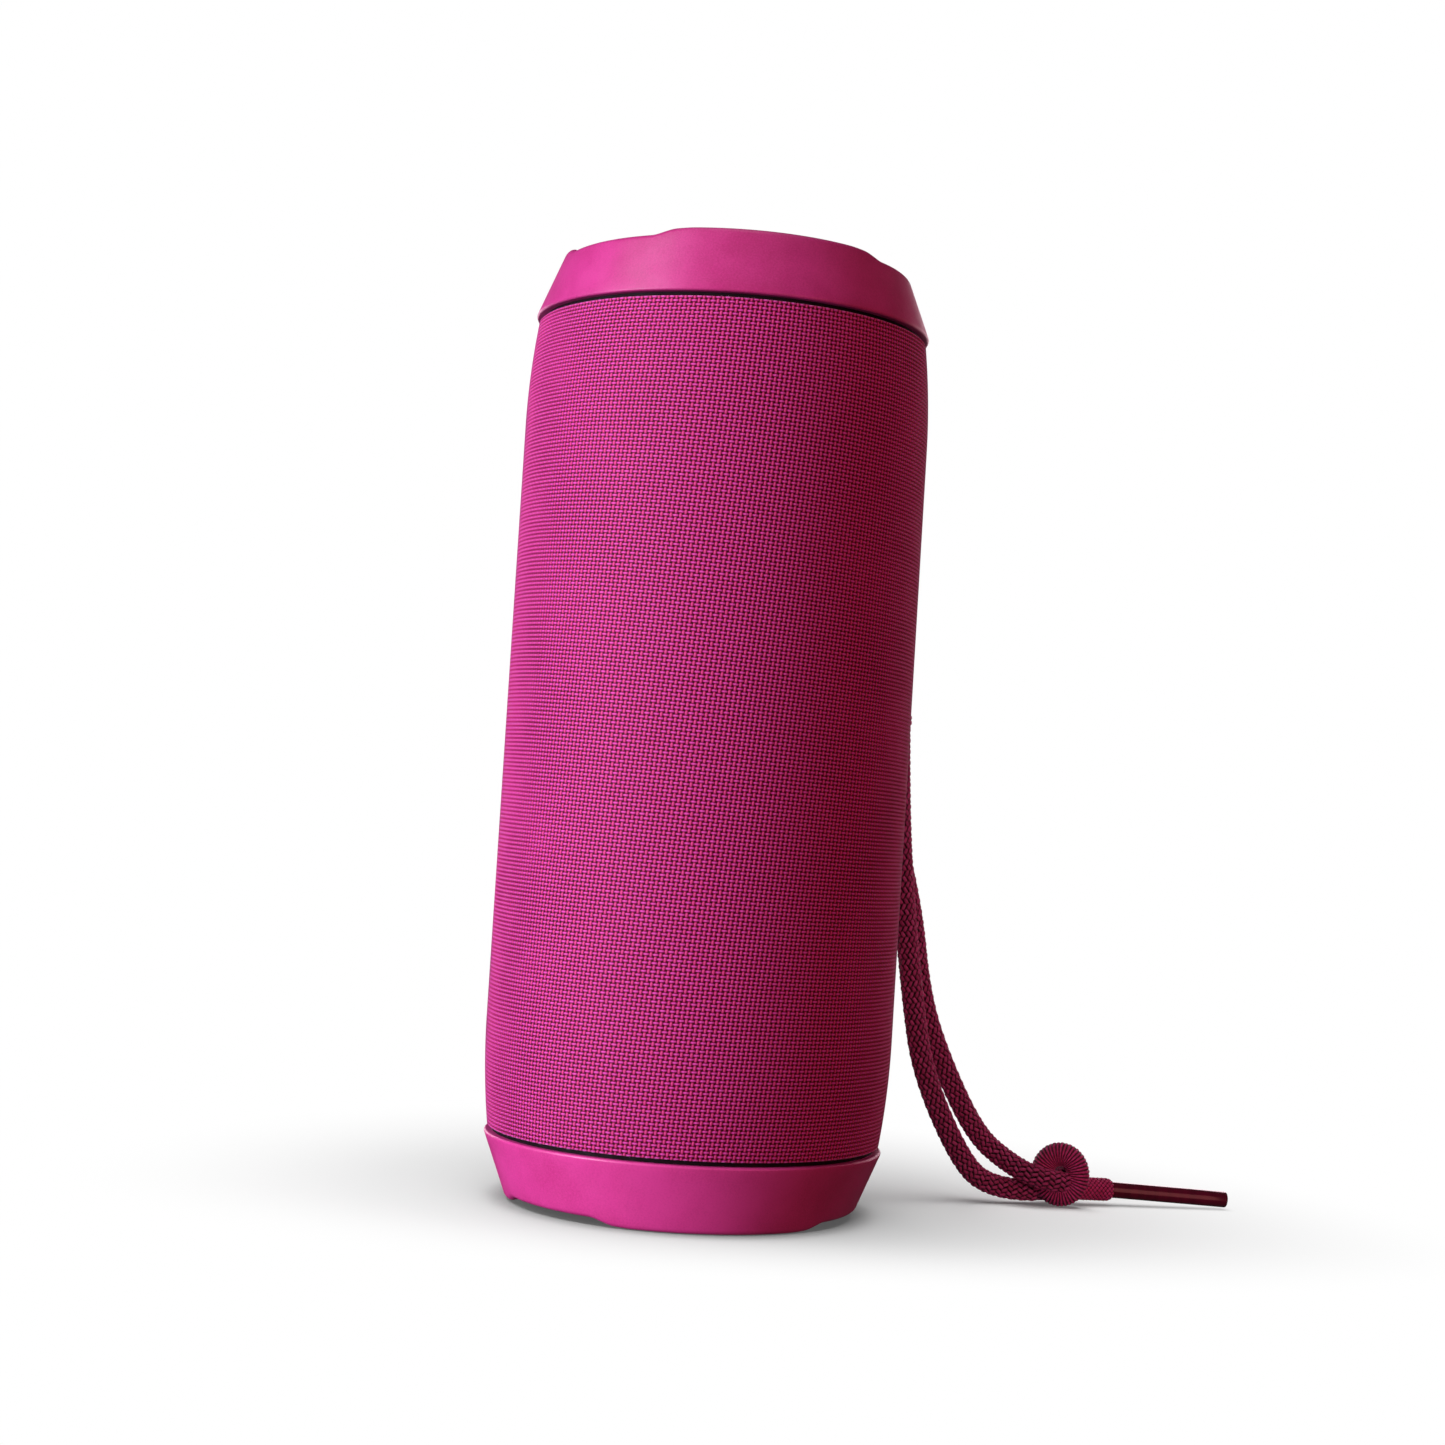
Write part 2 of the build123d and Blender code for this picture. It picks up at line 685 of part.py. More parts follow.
with BuildPart() as battery_cradle:
    spine = CELL_Y + CELL_R + 0.1
    block((-18, 18), (spine, spine + 1.6), (CELL_LOW - 3, CELL_LOW + CELL_L + 3))
    for low in (CELL_LOW - 3, CELL_LOW + CELL_L):
        block((-18.9, 18.9), (0.2, spine + 0.2), (low, low + 3))
save(battery_cradle, "battery_cradle")

# Main board with its ports, and the small board behind the buttons
with BuildPart() as main_board:
    block((-19.5, 19.5), (BOARD_Y, BOARD_Y + BOARD_T), (60, 154))
    with BuildSketch(behind(BOARD_Y)):
        for x in BOARD_POST_X:
            for z in BOARD_POST_Z:
                with Locations((x, z)):
                    Circle(1.1)
    extrude(amount=-BOARD_T, mode=Mode.SUBTRACT)
save(main_board, "main_board")

CHIPS = [
    (0, 72, 12, 12, 1.4),
    (-9, 92, 8, 8, 1.2),
    (9, 92, 7, 10, 1.2),
    (-11.5, 108, 6, 6, 3.0),
    (11.5, 108, 6, 6, 3.0),
    (-12, 124, 5, 8, 1.2),
    (12, 124, 5, 8, 1.2),
    (0, 134, 9, 9, 1.4),
]
with BuildPart() as board_chips:
    face = BOARD_Y + BOARD_T
    for x, z, width, tall, thick in CHIPS:
        block((x - width / 2, x + width / 2), (face, face + thick), (z - tall / 2, z + tall / 2))
save(board_chips, "board_chips")

with BuildPart() as charge_port:
    with BuildSketch(behind(BOARD_Y + BOARD_T)):
        with Locations((0, CHARGE_Z)):
            SlotOverall(9.2, 3.4)
    extrude(amount=-(RECESS_Y - BOARD_Y - BOARD_T))
    with BuildSketch(behind(BOARD_Y + BOARD_T + 1.2)):
        with Locations((0, CHARGE_Z)):
            SlotOverall(8.4, 2.6)
    extrude(amount=-8, mode=Mode.SUBTRACT)
    block((-3.3, 3.3), (BOARD_Y + BOARD_T + 1, RECESS_Y - 0.8), (CHARGE_Z - 0.35, CHARGE_Z + 0.35))
save(charge_port, "charge_port")

with BuildPart() as audio_jack:
    with BuildSketch(behind(BOARD_Y + BOARD_T)):
        with Locations((0, JACK_Z)):
            Circle(JACK_R)
    extrude(amount=-(RECESS_Y - BOARD_Y - BOARD_T))
    with BuildSketch(behind(BOARD_Y + BOARD_T + 1.2)):
        with Locations((0, JACK_Z)):
            Circle(1.8)
    extrude(amount=-8, mode=Mode.SUBTRACT)
save(audio_jack, "audio_jack")

with BuildPart() as button_board:
    block((-10.4, 10.4), (27.6, 28.8), (128, 161))
save(button_board, "button_board")

with BuildPart() as tact_switches:
    for _, x, z, _, _ in BUTTONS:
        block((x - 2.2, x + 2.2), (28.8, 29.7), (z - 2.2, z + 2.2))
        with BuildSketch(behind(29.7)):
            with Locations((x, z)):
                Circle(1.1)
        extrude(amount=-0.8)
save(tact_switches, "tact_switches")

board_screw_places = [(x, BOARD_Y - 1.0, z) for x in BOARD_POST_X for z in BOARD_POST_Z]
save(screws(board_screw_places, (0, 1, 0), 1.9, 1.0, 0.8, 5.0), "board_screws")

# Control strip, its buttons, lights and fixings
save(control_strip_part(), "control_strip")
for name, x, z, radius, sign in BUTTONS:
    save(button_part(x, z, radius, sign), name)

with BuildPart() as status_lights:
    with BuildSketch(behind(29.4)):
        for x in LIGHT_X:
            with Locations((x, LIGHT_Z)):
                Circle(LIGHT_R)
    extrude(amount=-10)
    with BuildSketch(Plane.XY):
        Circle(STRIP_R)
    extrude(amount=HEIGHT, mode=Mode.INTERSECT)
save(status_lights, "status_lights")

strip_screw_places = [(0, TUBE_BORE_R - 1.4, height) for height in STRIP_SCREW_HEIGHTS]
save(screws(strip_screw_places, (0, 1, 0), 1.9, 1.2, 0.9, 4.4), "strip_screws")

# Port cover, its hinge pin and its gasket
save(port_cover_part(), "port_cover")
pin_half = KNUCKLE_W / 2 + 0.2 + LUG_W
save(rod_between((-pin_half, HINGE_Y, HINGE_Z), (pin_half, HINGE_Y, HINGE_Z), HINGE_PIN_R), "cover_pin")
with BuildPart() as port_gasket:
    block((-7.4, 7.4), (34.2, COVER_Y), (105.4, 119.4))
    block((-6.3, 6.3), (34.0, 37.0), (106.5, 118.3), Mode.SUBTRACT)
save(port_gasket, "port_gasket")

# Strap: bar, hitch round the bar, two strands, knot, collar and end rod
bar_from = (-STRAP_BAR_HALF, STRAP_BAR_Y, STRAP_BAR_Z)
bar_to = (STRAP_BAR_HALF, STRAP_BAR_Y, STRAP_BAR_Z)
save(rod_between(bar_from, bar_to, STRAP_BAR_R), "strap_bar")

with BuildPart() as strap_hitch:
    block((-5.0, 5.0), (30.4, 41.4), (91.6, 99.8))
    fillet(strap_hitch.edges(), radius=2.0)
    with BuildSketch(Plane.YZ.offset(-6)):
        with Locations((STRAP_BAR_Y, STRAP_BAR_Z)):
            Circle(STRAP_BAR_R)
    extrude(amount=12, mode=Mode.SUBTRACT)
save(strap_hitch, "strap_hitch")

save(strand("strap_strand_a", STRAND_A), "strap_strand_a")
save(strand("strap_strand_b", STRAND_B), "strap_strand_b")

with BuildPart() as strap_knot:
    with BuildSketch(Plane(KNOT_CENTRE, z_dir=KNOT_AXIS)):
        Circle(KNOT_R)
    extrude(amount=KNOT_T / 2, both=True)
    fillet(strap_knot.edges().filter_by(GeomType.CIRCLE), radius=2.4)
save(strap_knot, "strap_knot")

save(rod_between(COLLAR_FROM, COLLAR_TO, COLLAR_R), "strap_collar")
save(rod_between(COLLAR_TO, ROD_TO, ROD_R), "strap_rod")
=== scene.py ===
from math import atan2, cos, pi, radians, sin

import bpy
import numpy as np
from mathutils import Matrix, Vector


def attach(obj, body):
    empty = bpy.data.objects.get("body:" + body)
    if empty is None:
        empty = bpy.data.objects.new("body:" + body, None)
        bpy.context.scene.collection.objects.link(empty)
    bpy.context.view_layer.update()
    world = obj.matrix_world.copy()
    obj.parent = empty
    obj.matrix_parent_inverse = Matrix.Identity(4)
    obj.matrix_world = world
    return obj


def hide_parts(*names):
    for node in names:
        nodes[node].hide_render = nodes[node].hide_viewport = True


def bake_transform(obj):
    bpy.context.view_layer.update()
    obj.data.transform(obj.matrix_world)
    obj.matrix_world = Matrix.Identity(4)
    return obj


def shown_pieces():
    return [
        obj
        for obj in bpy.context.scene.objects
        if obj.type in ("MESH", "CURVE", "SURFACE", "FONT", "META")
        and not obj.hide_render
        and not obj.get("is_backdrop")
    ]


# Portable upright speaker, in the CAD's frame: origin at the centre of the base, +Z up,
# -Y the driver side, +Y the control side. Sizes and routes are in millimetres, and MM turns
# them into Blender's metres. The camera, the lights and the stage are in metres.
MM = 0.001

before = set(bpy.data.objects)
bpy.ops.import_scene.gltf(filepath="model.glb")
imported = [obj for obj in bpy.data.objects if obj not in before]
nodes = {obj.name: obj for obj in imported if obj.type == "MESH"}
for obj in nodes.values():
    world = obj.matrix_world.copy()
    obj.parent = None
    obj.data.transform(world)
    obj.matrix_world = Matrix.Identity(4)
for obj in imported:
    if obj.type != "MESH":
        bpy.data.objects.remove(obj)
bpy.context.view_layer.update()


# ---------------------------------------------------------------- camera
CAMERA_PLACE = (0.42277, -0.17512, 0.07435)
CAMERA_HEADING = radians(67.164)
CAMERA_PITCH = radians(2.232)
CAMERA_ROLL = radians(3.578)
CAMERA_LENS = 59.34
CAMERA_SENSOR = 36.0
# directions on the floor, as the camera sees them: to the right across its view, and towards it
ACROSS_VIEW = (0.383, 0.924)
TOWARDS_VIEW = (0.924, -0.383)


def add_camera():
    data = bpy.data.cameras.new("camera")
    data.lens = CAMERA_LENS
    data.sensor_width = CAMERA_SENSOR
    camera = bpy.data.objects.new("camera", data)
    camera.matrix_world = (
        Matrix.Translation(CAMERA_PLACE)
        @ Matrix.Rotation(CAMERA_HEADING, 4, "Z")
        @ Matrix.Rotation(pi / 2 + CAMERA_PITCH, 4, "X")
        @ Matrix.Rotation(CAMERA_ROLL, 4, "Z")
    )
    bpy.context.scene.collection.objects.link(camera)
    bpy.context.scene.camera = camera


add_camera()


# ---------------------------------------------------------------- mesh helpers
def new_object(name, verts, faces, material, attributes=None, sharp=None):
    """Smooth-shaded mesh object from points in metres. Edges past the sharp angle, in degrees,
    are not smoothed over."""
    mesh = bpy.data.meshes.new(name)
    mesh.from_pydata([tuple(v) for v in verts], [], [tuple(f) for f in faces])
    for key, values in (attributes or {}).items():
        layer = mesh.attributes.new(key, "FLOAT", "POINT")
        layer.data.foreach_set("value", np.asarray(values, dtype=np.float32))
    mesh.validate()
    mesh.polygons.foreach_set("use_smooth", [True] * len(mesh.polygons))
    if sharp is not None:
        mesh.set_sharp_from_angle(angle=radians(sharp))
    mesh.materials.append(material)
    piece = bpy.data.objects.new(name, mesh)
    bpy.context.scene.collection.objects.link(piece)
    return piece


def grid_faces(rows, cols, wrap_rows=False, wrap_cols=False, flip=False):
    """Quads of a rows x cols grid of points, as an array."""
    r = np.arange(rows if wrap_rows else rows - 1)
    c = np.arange(cols if wrap_cols else cols - 1)
    rr, cc = np.meshgrid(r, c, indexing="ij")
    r2, c2 = (rr + 1) % rows, (cc + 1) % cols
    quads = np.stack([rr * cols + cc, rr * cols + c2, r2 * cols + c2, r2 * cols + cc], -1)
    quads = quads.reshape(-1, 4)
    return quads[:, ::-1] if flip else quads


# ---------------------------------------------------------------- cords: routes and braids
LINE_STEP = 0.3
BRAID_R = 2.22
# control points of each strand, from the pocket down to the knot
STRAND_A = [
    (2.5, 39.9, 93.5),
    (2.4, 40.8, 79.0),
    (2.2, 43.2, 60.0),
    (2.3, 46.3, 41.0),
    (1.6, 50.0, 25.7),
    (0.5, 60.4, 8.2),
    (1.2, 66.8, 3.2),
    (3.0, 79.6, 2.4),
    (1.2, 82.0, 4.3),
]
STRAND_B = [
    (-2.5, 39.9, 93.5),
    (-2.6, 40.9, 78.0),
    (-2.2, 47.3, 59.0),
    (-2.5, 50.8, 40.0),
    (-3.4, 57.2, 26.8),
    (-2.9, 65.3, 13.1),
    (2.1, 70.3, 8.2),
    (7.1, 74.6, 5.7),
    (7.5, 80.8, 4.9),
]
KNOT_CENTRE = Vector((4.5, 81.5, 6.5))
KNOT_FRONT = Vector((*TOWARDS_VIEW, 0.0))
KNOT_SIDE = Vector((*ACROSS_VIEW, 0.0))
# the knot's ring: its half width and half height, the turn of its width out of the view's plane,
# and how far its middle lies in front of and beside the knot's centre
KNOT_RING = (3.55, 4.05)
KNOT_TILT = radians(13)
KNOT_FORWARD = 2.0
KNOT_ASIDE = -0.6
KNOT_CORD_R = 2.38
KNOT_RIBS = 46
TAIL_R = 2.1
COLLAR_FROM = Vector((4.4, 87.4, 3.3))
COLLAR_TO = Vector((5.2, 92.8, 3.2))
ROD_TO = Vector((10.7, 117.0, 2.0))
COLLAR_R = 2.35
COLLAR_END_R = 1.62
COLLAR_ROUNDING = 1.5
ROD_R = 1.6
HITCH_R = 1.75
# one half of the hitch, up to its middle in front of the strands. The other half mirrors it
HITCH = [
    (2.5, 39.9, 93.2),
    (2.5, 38.2, 95.4),
    (2.5, 36.9, 98.8),
    (2.8, 32.9, 98.9),
    (3.0, 32.0, 95.6),
    (3.4, 32.8, 91.6),
    (4.2, 36.0, 90.4),
    (4.4, 39.0, 92.6),
    (3.0, 40.6, 95.6),
    (0.0, 41.2, 96.4),
]


def route(name, points):
    """Open NURBS curve with the route's points as its control points."""
    data = bpy.data.curves.new(name, "CURVE")
    data.dimensions = "3D"
    data.resolution_u = 40
    spline = data.splines.new("NURBS")
    spline.points.add(len(points) - 1)
    for knot, point in zip(spline.points, points):
        knot.co = (point[0] * MM, point[1] * MM, point[2] * MM, 1.0)
    # set after the points: set before them, it would be lost
    spline.order_u = 3
    spline.use_endpoint_u = True
    return bpy.data.objects.new(name, data)


def evenly(line, step):
    """Points a fixed step apart along a line of points."""
    along = np.concatenate([[0], np.cumsum(np.linalg.norm(np.diff(line, axis=0), axis=1))])
    count = max(4, int(round(along[-1] / step)) + 1)
    wanted = np.linspace(0, along[-1], count)
    return np.stack([np.interp(wanted, along, line[:, k]) for k in range(3)], -1)


def centreline(name, points):
    """Evenly spaced points, in metres, along the route's own NURBS spline."""
    curve = route(name, points)
    mesh = bpy.data.meshes.new_from_object(curve)
    line = np.array([v.co[:] for v in mesh.vertices])
    bpy.data.meshes.remove(mesh)
    bpy.data.objects.remove(curve)
    return evenly(line, LINE_STEP * MM)


def carried_frames(line, closed=False):
    """Tangent, normal and binormal at each point, carried along without twist."""
    if closed:
        tangent = np.roll(line, -1, axis=0) - np.roll(line, 1, axis=0)
    else:
        tangent = np.gradient(line, axis=0)
    tangent /= np.linalg.norm(tangent, axis=1)[:, None]
    start = np.array((1.0, 0.0, 0.0)) if abs(tangent[0][0]) < 0.8 else np.array((0.0, 0.0, 1.0))
    normal = np.zeros_like(line)
    for i, t in enumerate(tangent):
        previous = start if i == 0 else normal[i - 1]
        n = previous - t * (previous @ t)
        normal[i] = n / np.linalg.norm(n)
    return tangent, normal, np.cross(tangent, normal)


def tube_faces(base, sides, count):
    """Quads of an open tube whose points start at base, one side's whole length after another."""
    ring = np.arange(sides)[None, :] * count + np.arange(count)[:, None] + base
    ring, after = ring[:-1], ring[1:]
    beside, beside_after = np.roll(ring, -1, axis=1), np.roll(after, -1, axis=1)
    return np.stack([ring, after, beside_after, beside], -1).reshape(-1, 4).tolist()


def braid(name, line, radius, half, lay, yarn, material):
    """Tubular braid about a line: half the yarns wind each way, over and under the others.

    radius is one number or one per point, lay the length of one full turn, and yarn the
    half width and half thickness of one yarn. All but line are in millimetres.
    """
    count = len(line)
    steps = np.linalg.norm(np.diff(line, axis=0), axis=1)
    along = np.concatenate([[0], np.cumsum(steps)]) / MM
    tangent, normal, binormal = carried_frames(line)
    outer = np.broadcast_to(np.asarray(radius, dtype=float), (count,))
    wide, thick = yarn
    sink = 0.55 * thick
    crossing = 2 * half * along / lay
    sides = 6
    squareness = 2.2
    verts, faces, shade_lift, tone, run = [], [], [], [], []
    base = 0
    for sense in (1, -1):
        for number in range(half):
            turn = sense * 2 * pi * along / lay + 2 * pi * number / half
            wave = np.cos(pi * crossing) * sense
            wave = np.tanh(squareness * wave) / np.tanh(squareness)
            out = np.cos(turn)[:, None] * normal + np.sin(turn)[:, None] * binormal
            around = -np.sin(turn)[:, None] * normal + np.cos(turn)[:, None] * binormal
            centre_r = outer - thick - sink + sink * wave
            pull = outer / np.max(outer)
            heading = tangent + (sense * 2 * pi / lay * centre_r)[:, None] * around
            heading /= np.linalg.norm(heading, axis=1)[:, None]
            side = np.cross(heading, out)
            centre = line + (centre_r * MM)[:, None] * out
            for k in range(sides):
                angle = 2 * pi * k / sides
                verts.append(
                    centre
                    + out * (cos(angle) * thick * MM)
                    + side * (sin(angle) * wide * MM * pull)[:, None]
                )
                # painted shade: lower where the yarn dips under the others and on the yarn's side towards the
                # core
                shade_lift.append(0.5 + 0.35 * wave + 0.15 * cos(angle) - 0.25 * (k % sides in (2, 3, 4)))
                tone.append(np.full(count, ((number * 7 + (sense > 0) * 3) % 11) / 10))
                run.append(along + 0.35 * sin(angle))
            faces.extend(tube_faces(base, sides, count))
            first = [base + k * count for k in range(sides)]
            last = [base + k * count + count - 1 for k in range(sides)]
            faces.extend([first, last[::-1]])
            base += sides * count
    # the core that the yarns lie on, painted in the full shade of the gaps
    core_sides = 14
    core_r = (outer - 2 * thick - sink) * MM
    for k in range(core_sides):
        angle = 2 * pi * k / core_sides
        verts.append(line + core_r[:, None] * (cos(angle) * normal + sin(angle) * binormal))
        shade_lift.append(np.full(count, 0.0))
        tone.append(np.full(count, 0.5))
        run.append(along)
    first = [base + k * count for k in range(core_sides)]
    last = [base + k * count + count - 1 for k in range(core_sides)]
    faces.extend([first, last[::-1]])
    faces.extend(tube_faces(base, core_sides, count))
    return new_object(
        name,
        np.concatenate(verts),
        faces,
        material,
        {
            "shade_lift": np.clip(np.concatenate(shade_lift), 0, 1),
            "tone": np.concatenate(tone),
            "run": np.concatenate(run),
        },
    )


def coil(name, line, radius, ribs, material):
    """Closed ring whose cord shows as ribs wound round it, radius in millimetres."""
    count, sides = len(line), 44
    rib_depth, yarn_depth, yarns_round = 0.26, 0.05, 9
    _, normal, binormal = carried_frames(line, closed=True)
    share = np.arange(count)[:, None] / count
    angle = 2 * pi * np.arange(sides)[None, :] / sides
    phase = pi * ribs * share + angle / 2
    rib = np.abs(np.sin(phase))
    number = np.floor(phase / pi)
    yarns = 0.5 + 0.5 * np.cos(yarns_round * angle + pi * number)
    size = (radius - rib_depth * (1 - np.sqrt(rib)) - yarn_depth * (1 - yarns)) * MM
    verts = (
        line[:, None, :]
        + (size * np.cos(angle))[..., None] * normal[:, None, :]
        + (size * np.sin(angle))[..., None] * binormal[:, None, :]
    )
    faces = grid_faces(count, sides, wrap_rows=True, wrap_cols=True)
    return new_object(
        name,
        verts.reshape(-1, 3),
        faces.tolist(),
        material,
        {
            # painted shade: darker in the grooves between ribs and between yarns
            "shade_lift": np.clip(0.15 + 0.7 * rib + 0.15 * yarns, 0, 1).ravel(),
            "tone": ((number * 7) % 11 / 10).ravel(),
            "run": (radius * angle + 0 * share).ravel(),
        },
    )


# ---------------------------------------------------------------- node helpers
class Shader:
    """Shorthand for one material's node tree. An input is a constant or another node's output."""

    def __init__(self, name):
        self.material = bpy.data.materials.new(name)
        self.material.use_nodes = True
        self.tree = self.material.node_tree
        self.surface = self.tree.nodes["Principled BSDF"]

    def node(self, kind, inputs=(), **settings):
        made = self.tree.nodes.new(kind)
        for key, value in settings.items():
            setattr(made, key, value)
        for key, value in dict(inputs).items():
            self.put(made.inputs[key], value)
        return made

    def put(self, socket, value):
        if isinstance(value, bpy.types.NodeSocket):
            self.tree.links.new(value, socket)
        else:
            socket.default_value = value

    def math(self, operation, *values, clamp=False):
        made = self.tree.nodes.new("ShaderNodeMath")
        made.operation = operation
        made.use_clamp = clamp
        for socket, value in zip(made.inputs, values):
            self.put(socket, value)
        return made.outputs[0]

    def attribute(self, name):
        return self.node("ShaderNodeAttribute", attribute_name=name).outputs["Fac"]

    def place(self):
        return self.node("ShaderNodeTexCoord").outputs["Object"]

    def split(self, vector):
        made = self.node("ShaderNodeSeparateXYZ", {"Vector": vector})
        return made.outputs[0], made.outputs[1], made.outputs[2]

    def stretched(self, scale):
        """Object coordinates scaled by an (x, y, z) factor."""
        made = self.node("ShaderNodeMapping", {"Vector": self.place(), "Scale": scale})
        return made.outputs["Vector"]

    def noise(self, scale, detail=2.0, roughness=0.5, vector=None):
        inputs = {"Scale": scale, "Detail": detail, "Roughness": roughness}
        inputs["Vector"] = self.place() if vector is None else vector
        return self.node("ShaderNodeTexNoise", inputs).outputs["Fac"]

    def blend(self, factor, first, second):
        made = self.node("ShaderNodeMix", data_type="RGBA", blend_type="MIX")
        self.put(made.inputs[0], factor)
        self.put(made.inputs[6], first if isinstance(first, bpy.types.NodeSocket) else rgba(first))
        self.put(made.inputs[7], second if isinstance(second, bpy.types.NodeSocket) else rgba(second))
        return made.outputs[2]

    def spread(self, value, low, high, to_low=0.0, to_high=1.0):
        """Value carried smoothly from the range low to high into the range to_low to to_high."""
        made = self.node(
            "ShaderNodeMapRange",
            {"Value": value, "From Min": low, "From Max": high, "To Min": to_low, "To Max": to_high},
            interpolation_type="SMOOTHSTEP",
        )
        return made.outputs["Result"]

    def bump(self, height, distance, strength=1.0):
        inputs = {"Height": height, "Distance": distance * MM, "Strength": strength}
        return self.node("ShaderNodeBump", inputs).outputs["Normal"]

    def finish(self, colour, rough, normal=None, **constants):
        """Puts in colour, roughness and normal, and sets constants on the shader's own sockets."""
        self.put(self.surface.inputs["Base Color"], colour)
        self.put(self.surface.inputs["Roughness"], rough)
        if normal is not None:
            self.put(self.surface.inputs["Normal"], normal)
        for key, value in constants.items():
            self.surface.inputs[key.replace("_", " ")].default_value = value
        return self.material


def linear(channel):
    """One sRGB channel, 0 to 255, as linear light."""
    value = channel / 255
    return value / 12.92 if value <= 0.04045 else ((value + 0.055) / 1.055) ** 2.4


def rgba(colour):
    """One sRGB colour, 0 to 255, as the linear colour of a socket."""
    return (linear(colour[0]), linear(colour[1]), linear(colour[2]), 1.0)


def moulded(name, light, dark, rough=(0.4, 0.55), cloud=60.0, grain=4200.0, depth=0.012, **constants):
    """Moulded or painted surface: slow colour drift, fine grain and uneven gloss."""
    shader = Shader(name)
    drift = shader.noise(cloud, 3.0, 0.6)
    fine = shader.noise(grain, 3.0, 0.6)
    mixed = shader.math("MULTIPLY_ADD", fine, 0.35, shader.math("MULTIPLY", drift, 0.65))
    colour = shader.blend(shader.spread(mixed, 0.3, 0.7), dark, light)
    gloss = shader.spread(shader.noise(cloud * 6, 4.0, 0.65), 0.3, 0.7, rough[0], rough[1])
    return shader.finish(colour, gloss, shader.bump(fine, depth), **constants)


def brushed(name, light, dark, rough=(0.22, 0.4), scale=(900.0, 900.0, 90.0)):
    """Bare metal with fine drawn streaks."""
    shader = Shader(name)
    streaks = shader.noise(1.0, 4.0, 0.6, shader.stretched(scale))
    colour = shader.blend(shader.spread(streaks, 0.35, 0.65), dark, light)
    gloss = shader.spread(streaks, 0.3, 0.7, rough[0], rough[1])
    return shader.finish(colour, gloss, shader.bump(streaks, 0.006), Metallic=1.0)


# ---------------------------------------------------------------- thread lattice of the sleeve
FABRIC_R = 38.7
FABRIC_END_R = 37.3
FABRIC_BLEND_H = 20.3
SLOT_HALF = 12.15
SLEEVE_LOW = 13.45
SLEEVE_HIGH = 166.55
HEM = 0.25
WARP_COUNT = 276
WARP_PITCH = 2 * pi * FABRIC_R / WARP_COUNT
WEFT_ROWS = 207
WOVEN_LOW = SLEEVE_LOW + HEM
WOVEN_H = SLEEVE_HIGH - SLEEVE_LOW - 2 * HEM
WEFT_PITCH = WOVEN_H / WEFT_ROWS
# the cloth is cut a little off the thread: the warp leans, and the weft dips on one side
WARP_LEAN = 0.084
WEFT_DIP = 0.09 * FABRIC_R
DIP_FACES = radians(67.5)
HOLE_DEPTH = 0.3
# how far the cut edges turn in at the slot
TURN_IN = 0.9


# ---------------------------------------------------------------- materials
# each thread's light and dark colours span its random fibre tone and also painted shade, lighter on its crown
WEFT_LIGHT, WEFT_DARK = (255, 92, 206), (224, 40, 146)
WARP_LIGHT, WARP_DARK = (255, 84, 164), (208, 30, 104)
# painted shade: the dark colour that the holes between threads take, standing in for the shade that falls into
# them
HOLE_SHADE = (84, 0, 30)
CAP_LIGHT, CAP_DARK = (238, 70, 160), (206, 48, 126)
# half a thread's width, as a share of the pitch, and what a thread's height takes from its
# passing over and under and from its own roundness
THREAD_HALF = 0.3
OVER_SHARE, ROUND_SHARE = 0.42, 0.58
# the sealed edge fades out between these distances from the slot's middle
SEALED_EDGE = (SLOT_HALF + 0.3, SLOT_HALF + 0.75)


